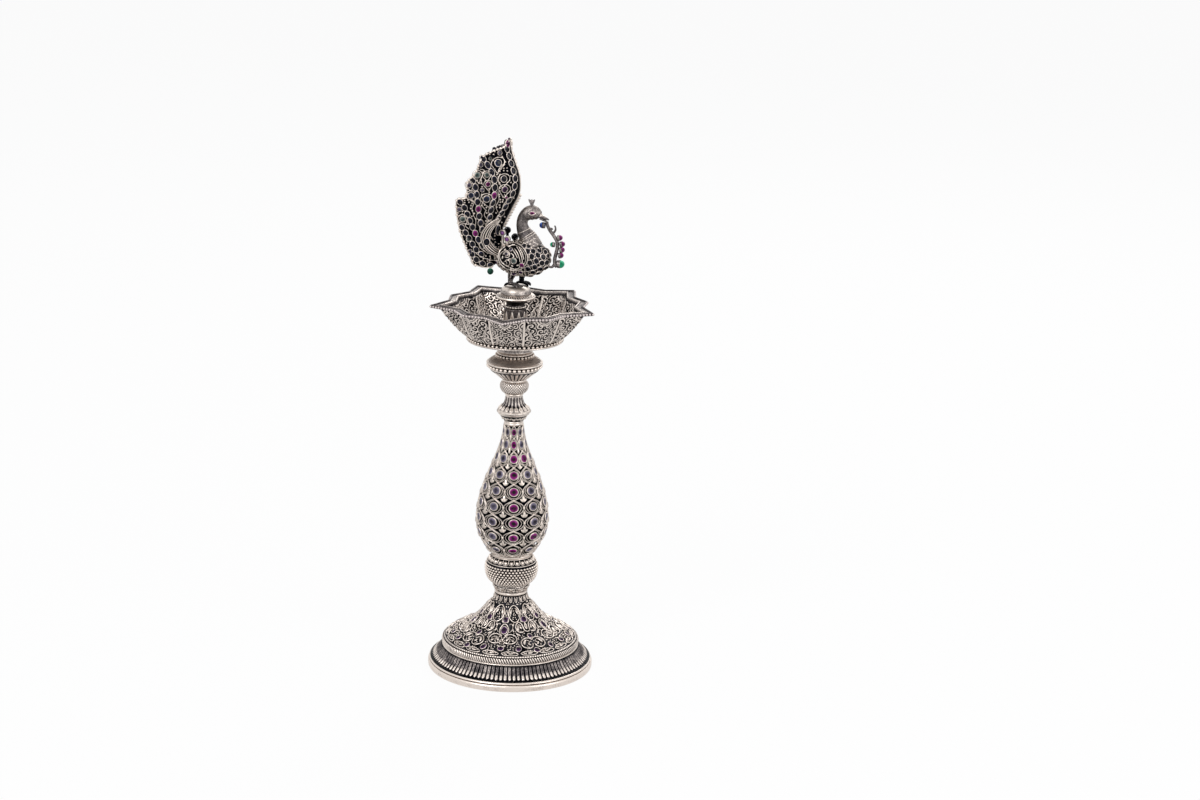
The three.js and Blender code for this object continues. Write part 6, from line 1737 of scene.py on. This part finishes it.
bird_stones("wing_stones", wing_stones)

# Beads on the back: two on each side, in double bezels on short silver stalks, violet on the
# right and black on the left.
for name, spots, finish in (("right", ((-7.6, -3.4, 31.3), (-4.5, -4.2, 27.9)), amethyst),
                            ("left", ((-6.4, 3.0, 31.6), (-1.9, 3.2, 28.0)), black_silver)):
    stalks, balls = [], []
    for x, y, h in spots:
        stalks.append(loft([(x, y, 22.5, 0.9, 0.9), (x, y, h - 1.2, 0.8, 0.8)], 12, 16))
        stalks += [scatter(bezel, (x, y - 0.2, h), (0, -1.0, 0), (1.0, 0, 0), (rim_size, rim_size, 1.5))
                   for rim_size in (1.6, 1.95)]
        balls.append(scatter(bead, (x, y, h), (0, -1.0, 0), (1.0, 0, 0), (1.3, 1.3, 1.5)))
    bird_piece(f"{name}_back_stalks", stalks, material=silver if name == "right" else black_silver)
    bird_piece(f"{name}_back_beads", balls, material=finish, slot="ruby")

# Vine: a round tarnished silver stem from the beak to the breast, with a hook and a scroll.
# Cups on it hold red berries and green and blue beads, and a green drop hangs under the tail.
emerald = stone_finish("emerald_stone", "emerald", "02180f", "128a60", "6fd8ae")
dark_emerald = stone_finish("dark_green_stone", "emerald", "02100c", "0c3a2c", "2f7a5f")
blue_stone = stone_finish("blue_stone", "sapphire", "04081a", "1c3a86", "5f88d4")


def tube(line, radius, end_radius):
    """Plain round tube through (x, height) points of the middle plane."""
    radii = np.linspace(radius, end_radius, len(line))
    return loft([(x, 0, h, r, r) for (x, h), r in zip(line, radii)], 40, 14)


VINE = [(17.9, 38.9), (18.3, 36.6), (19.8, 33.8), (22.2, 30.8), (24.2, 27.4), (24.4, 24), (23.6, 20),
        (23, 16.8), (23.4, 14.0), (24.4, 12.6)]
HOOK = [(20.2, 33.3), (21.8, 32.6), (23, 34.0), (23.1, 35.6), (22.6, 36.9)]
SCROLL = [(23.2, 15), (21.8, 12.6), (20, 12.4), (18.9, 13.6), (19.6, 14.8)]
vine_leaf = (leaf[0] * (2.6, 1.3, 1.0) + (20.6, -0.6, 34.6), leaf[1], leaf[2])
vine = [tube(VINE, 0.9, 1.15), tube(HOOK, 0.8, 0.4), tube(SCROLL, 0.85, 0.5), vine_leaf]


def ball(centre, radius):
    """Small cut ball: rings at radius cos t and height sin t, for seven angles t. Its shades,
    bright at the ends and dark round the middle, are painted light in the stone.
    """
    profile = [(math.cos(t), math.sin(t)) for t in np.linspace(-1.35, 1.35, 7)]
    points, faces, shade = round_form(profile, 12, [0.9, 0.7, 0.5, 0.4, 0.5, 0.7, 0.9])
    return points * radius + centre, faces, shade


def cup(centre, radius, towards):
    """Bezel cup round a bead, open in a direction of the middle plane."""
    out = unit(np.array([towards[0], 0, towards[1]], float))
    size = (radius * 1.06, radius * 1.06, radius * 0.7)
    return scatter(bezel, np.array([centre]) - out * 0.35 * radius, -out, (0, 1.0, 0), size)


BERRY = 1.6
BERRIES = [(25.9, 0, 29.9), (27.4, 0, 26.3), (27.3, 0, 22.9), (26.7, 0, 19.6)]
for number, centre in enumerate(BERRIES, 1):
    vine.append(cup(centre, BERRY, (1, 0.2)))
    bird_piece(f"berry_{number}", [ball(centre, BERRY)], [f"vine_berry_{number}"], material=deep_ruby)
vine += [cup((26.5, 0, 14.4), 2.2, (1, 0)), cup((15.3, 0, 36.6), 1.7, (-1, 0)),
         cup((21.6, 0, 25.6), 1.4, (-1, 0))]
bird_piece("vine_stem", vine, ["beak_vine"], material=tarnished_silver)
bird_piece("emerald_bead", [ball((26.6, 0, 14.4), 2.3)], ["vine_emerald"], material=emerald)
bird_piece("blue_bead", [ball((15.2, 0, 36.6), 1.8)], ["vine_blue_bead"], material=blue_stone)
bird_piece("green_bead", [ball((21.5, 0, 25.6), 1.5)], ["breast_green_bead"], material=emerald)
bird_piece("drop_bead", [ball((-13, -9.4, 9.2), 1.9)], ["tail_drop_bead"], material=dark_emerald)

# Plain parts inside the foot and the stem: the rod with its washer and nut, of steel, the
# spigot and the closing plate, of silver. They are shown as they were turned.
steel = silver_finish("turned_steel", "303234", "77797b", "a9abad", 0.4, level=0.6)
PLAIN_PARTS = {"base_plate": tarnished_silver, "finial_spigot": tarnished_silver, "tie_rod": steel,
               "rod_washer": steel, "rod_nut": steel}
for node, finish in PLAIN_PARTS.items():
    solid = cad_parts[node].data
    solid.materials.clear()
    solid.materials.append(finish)
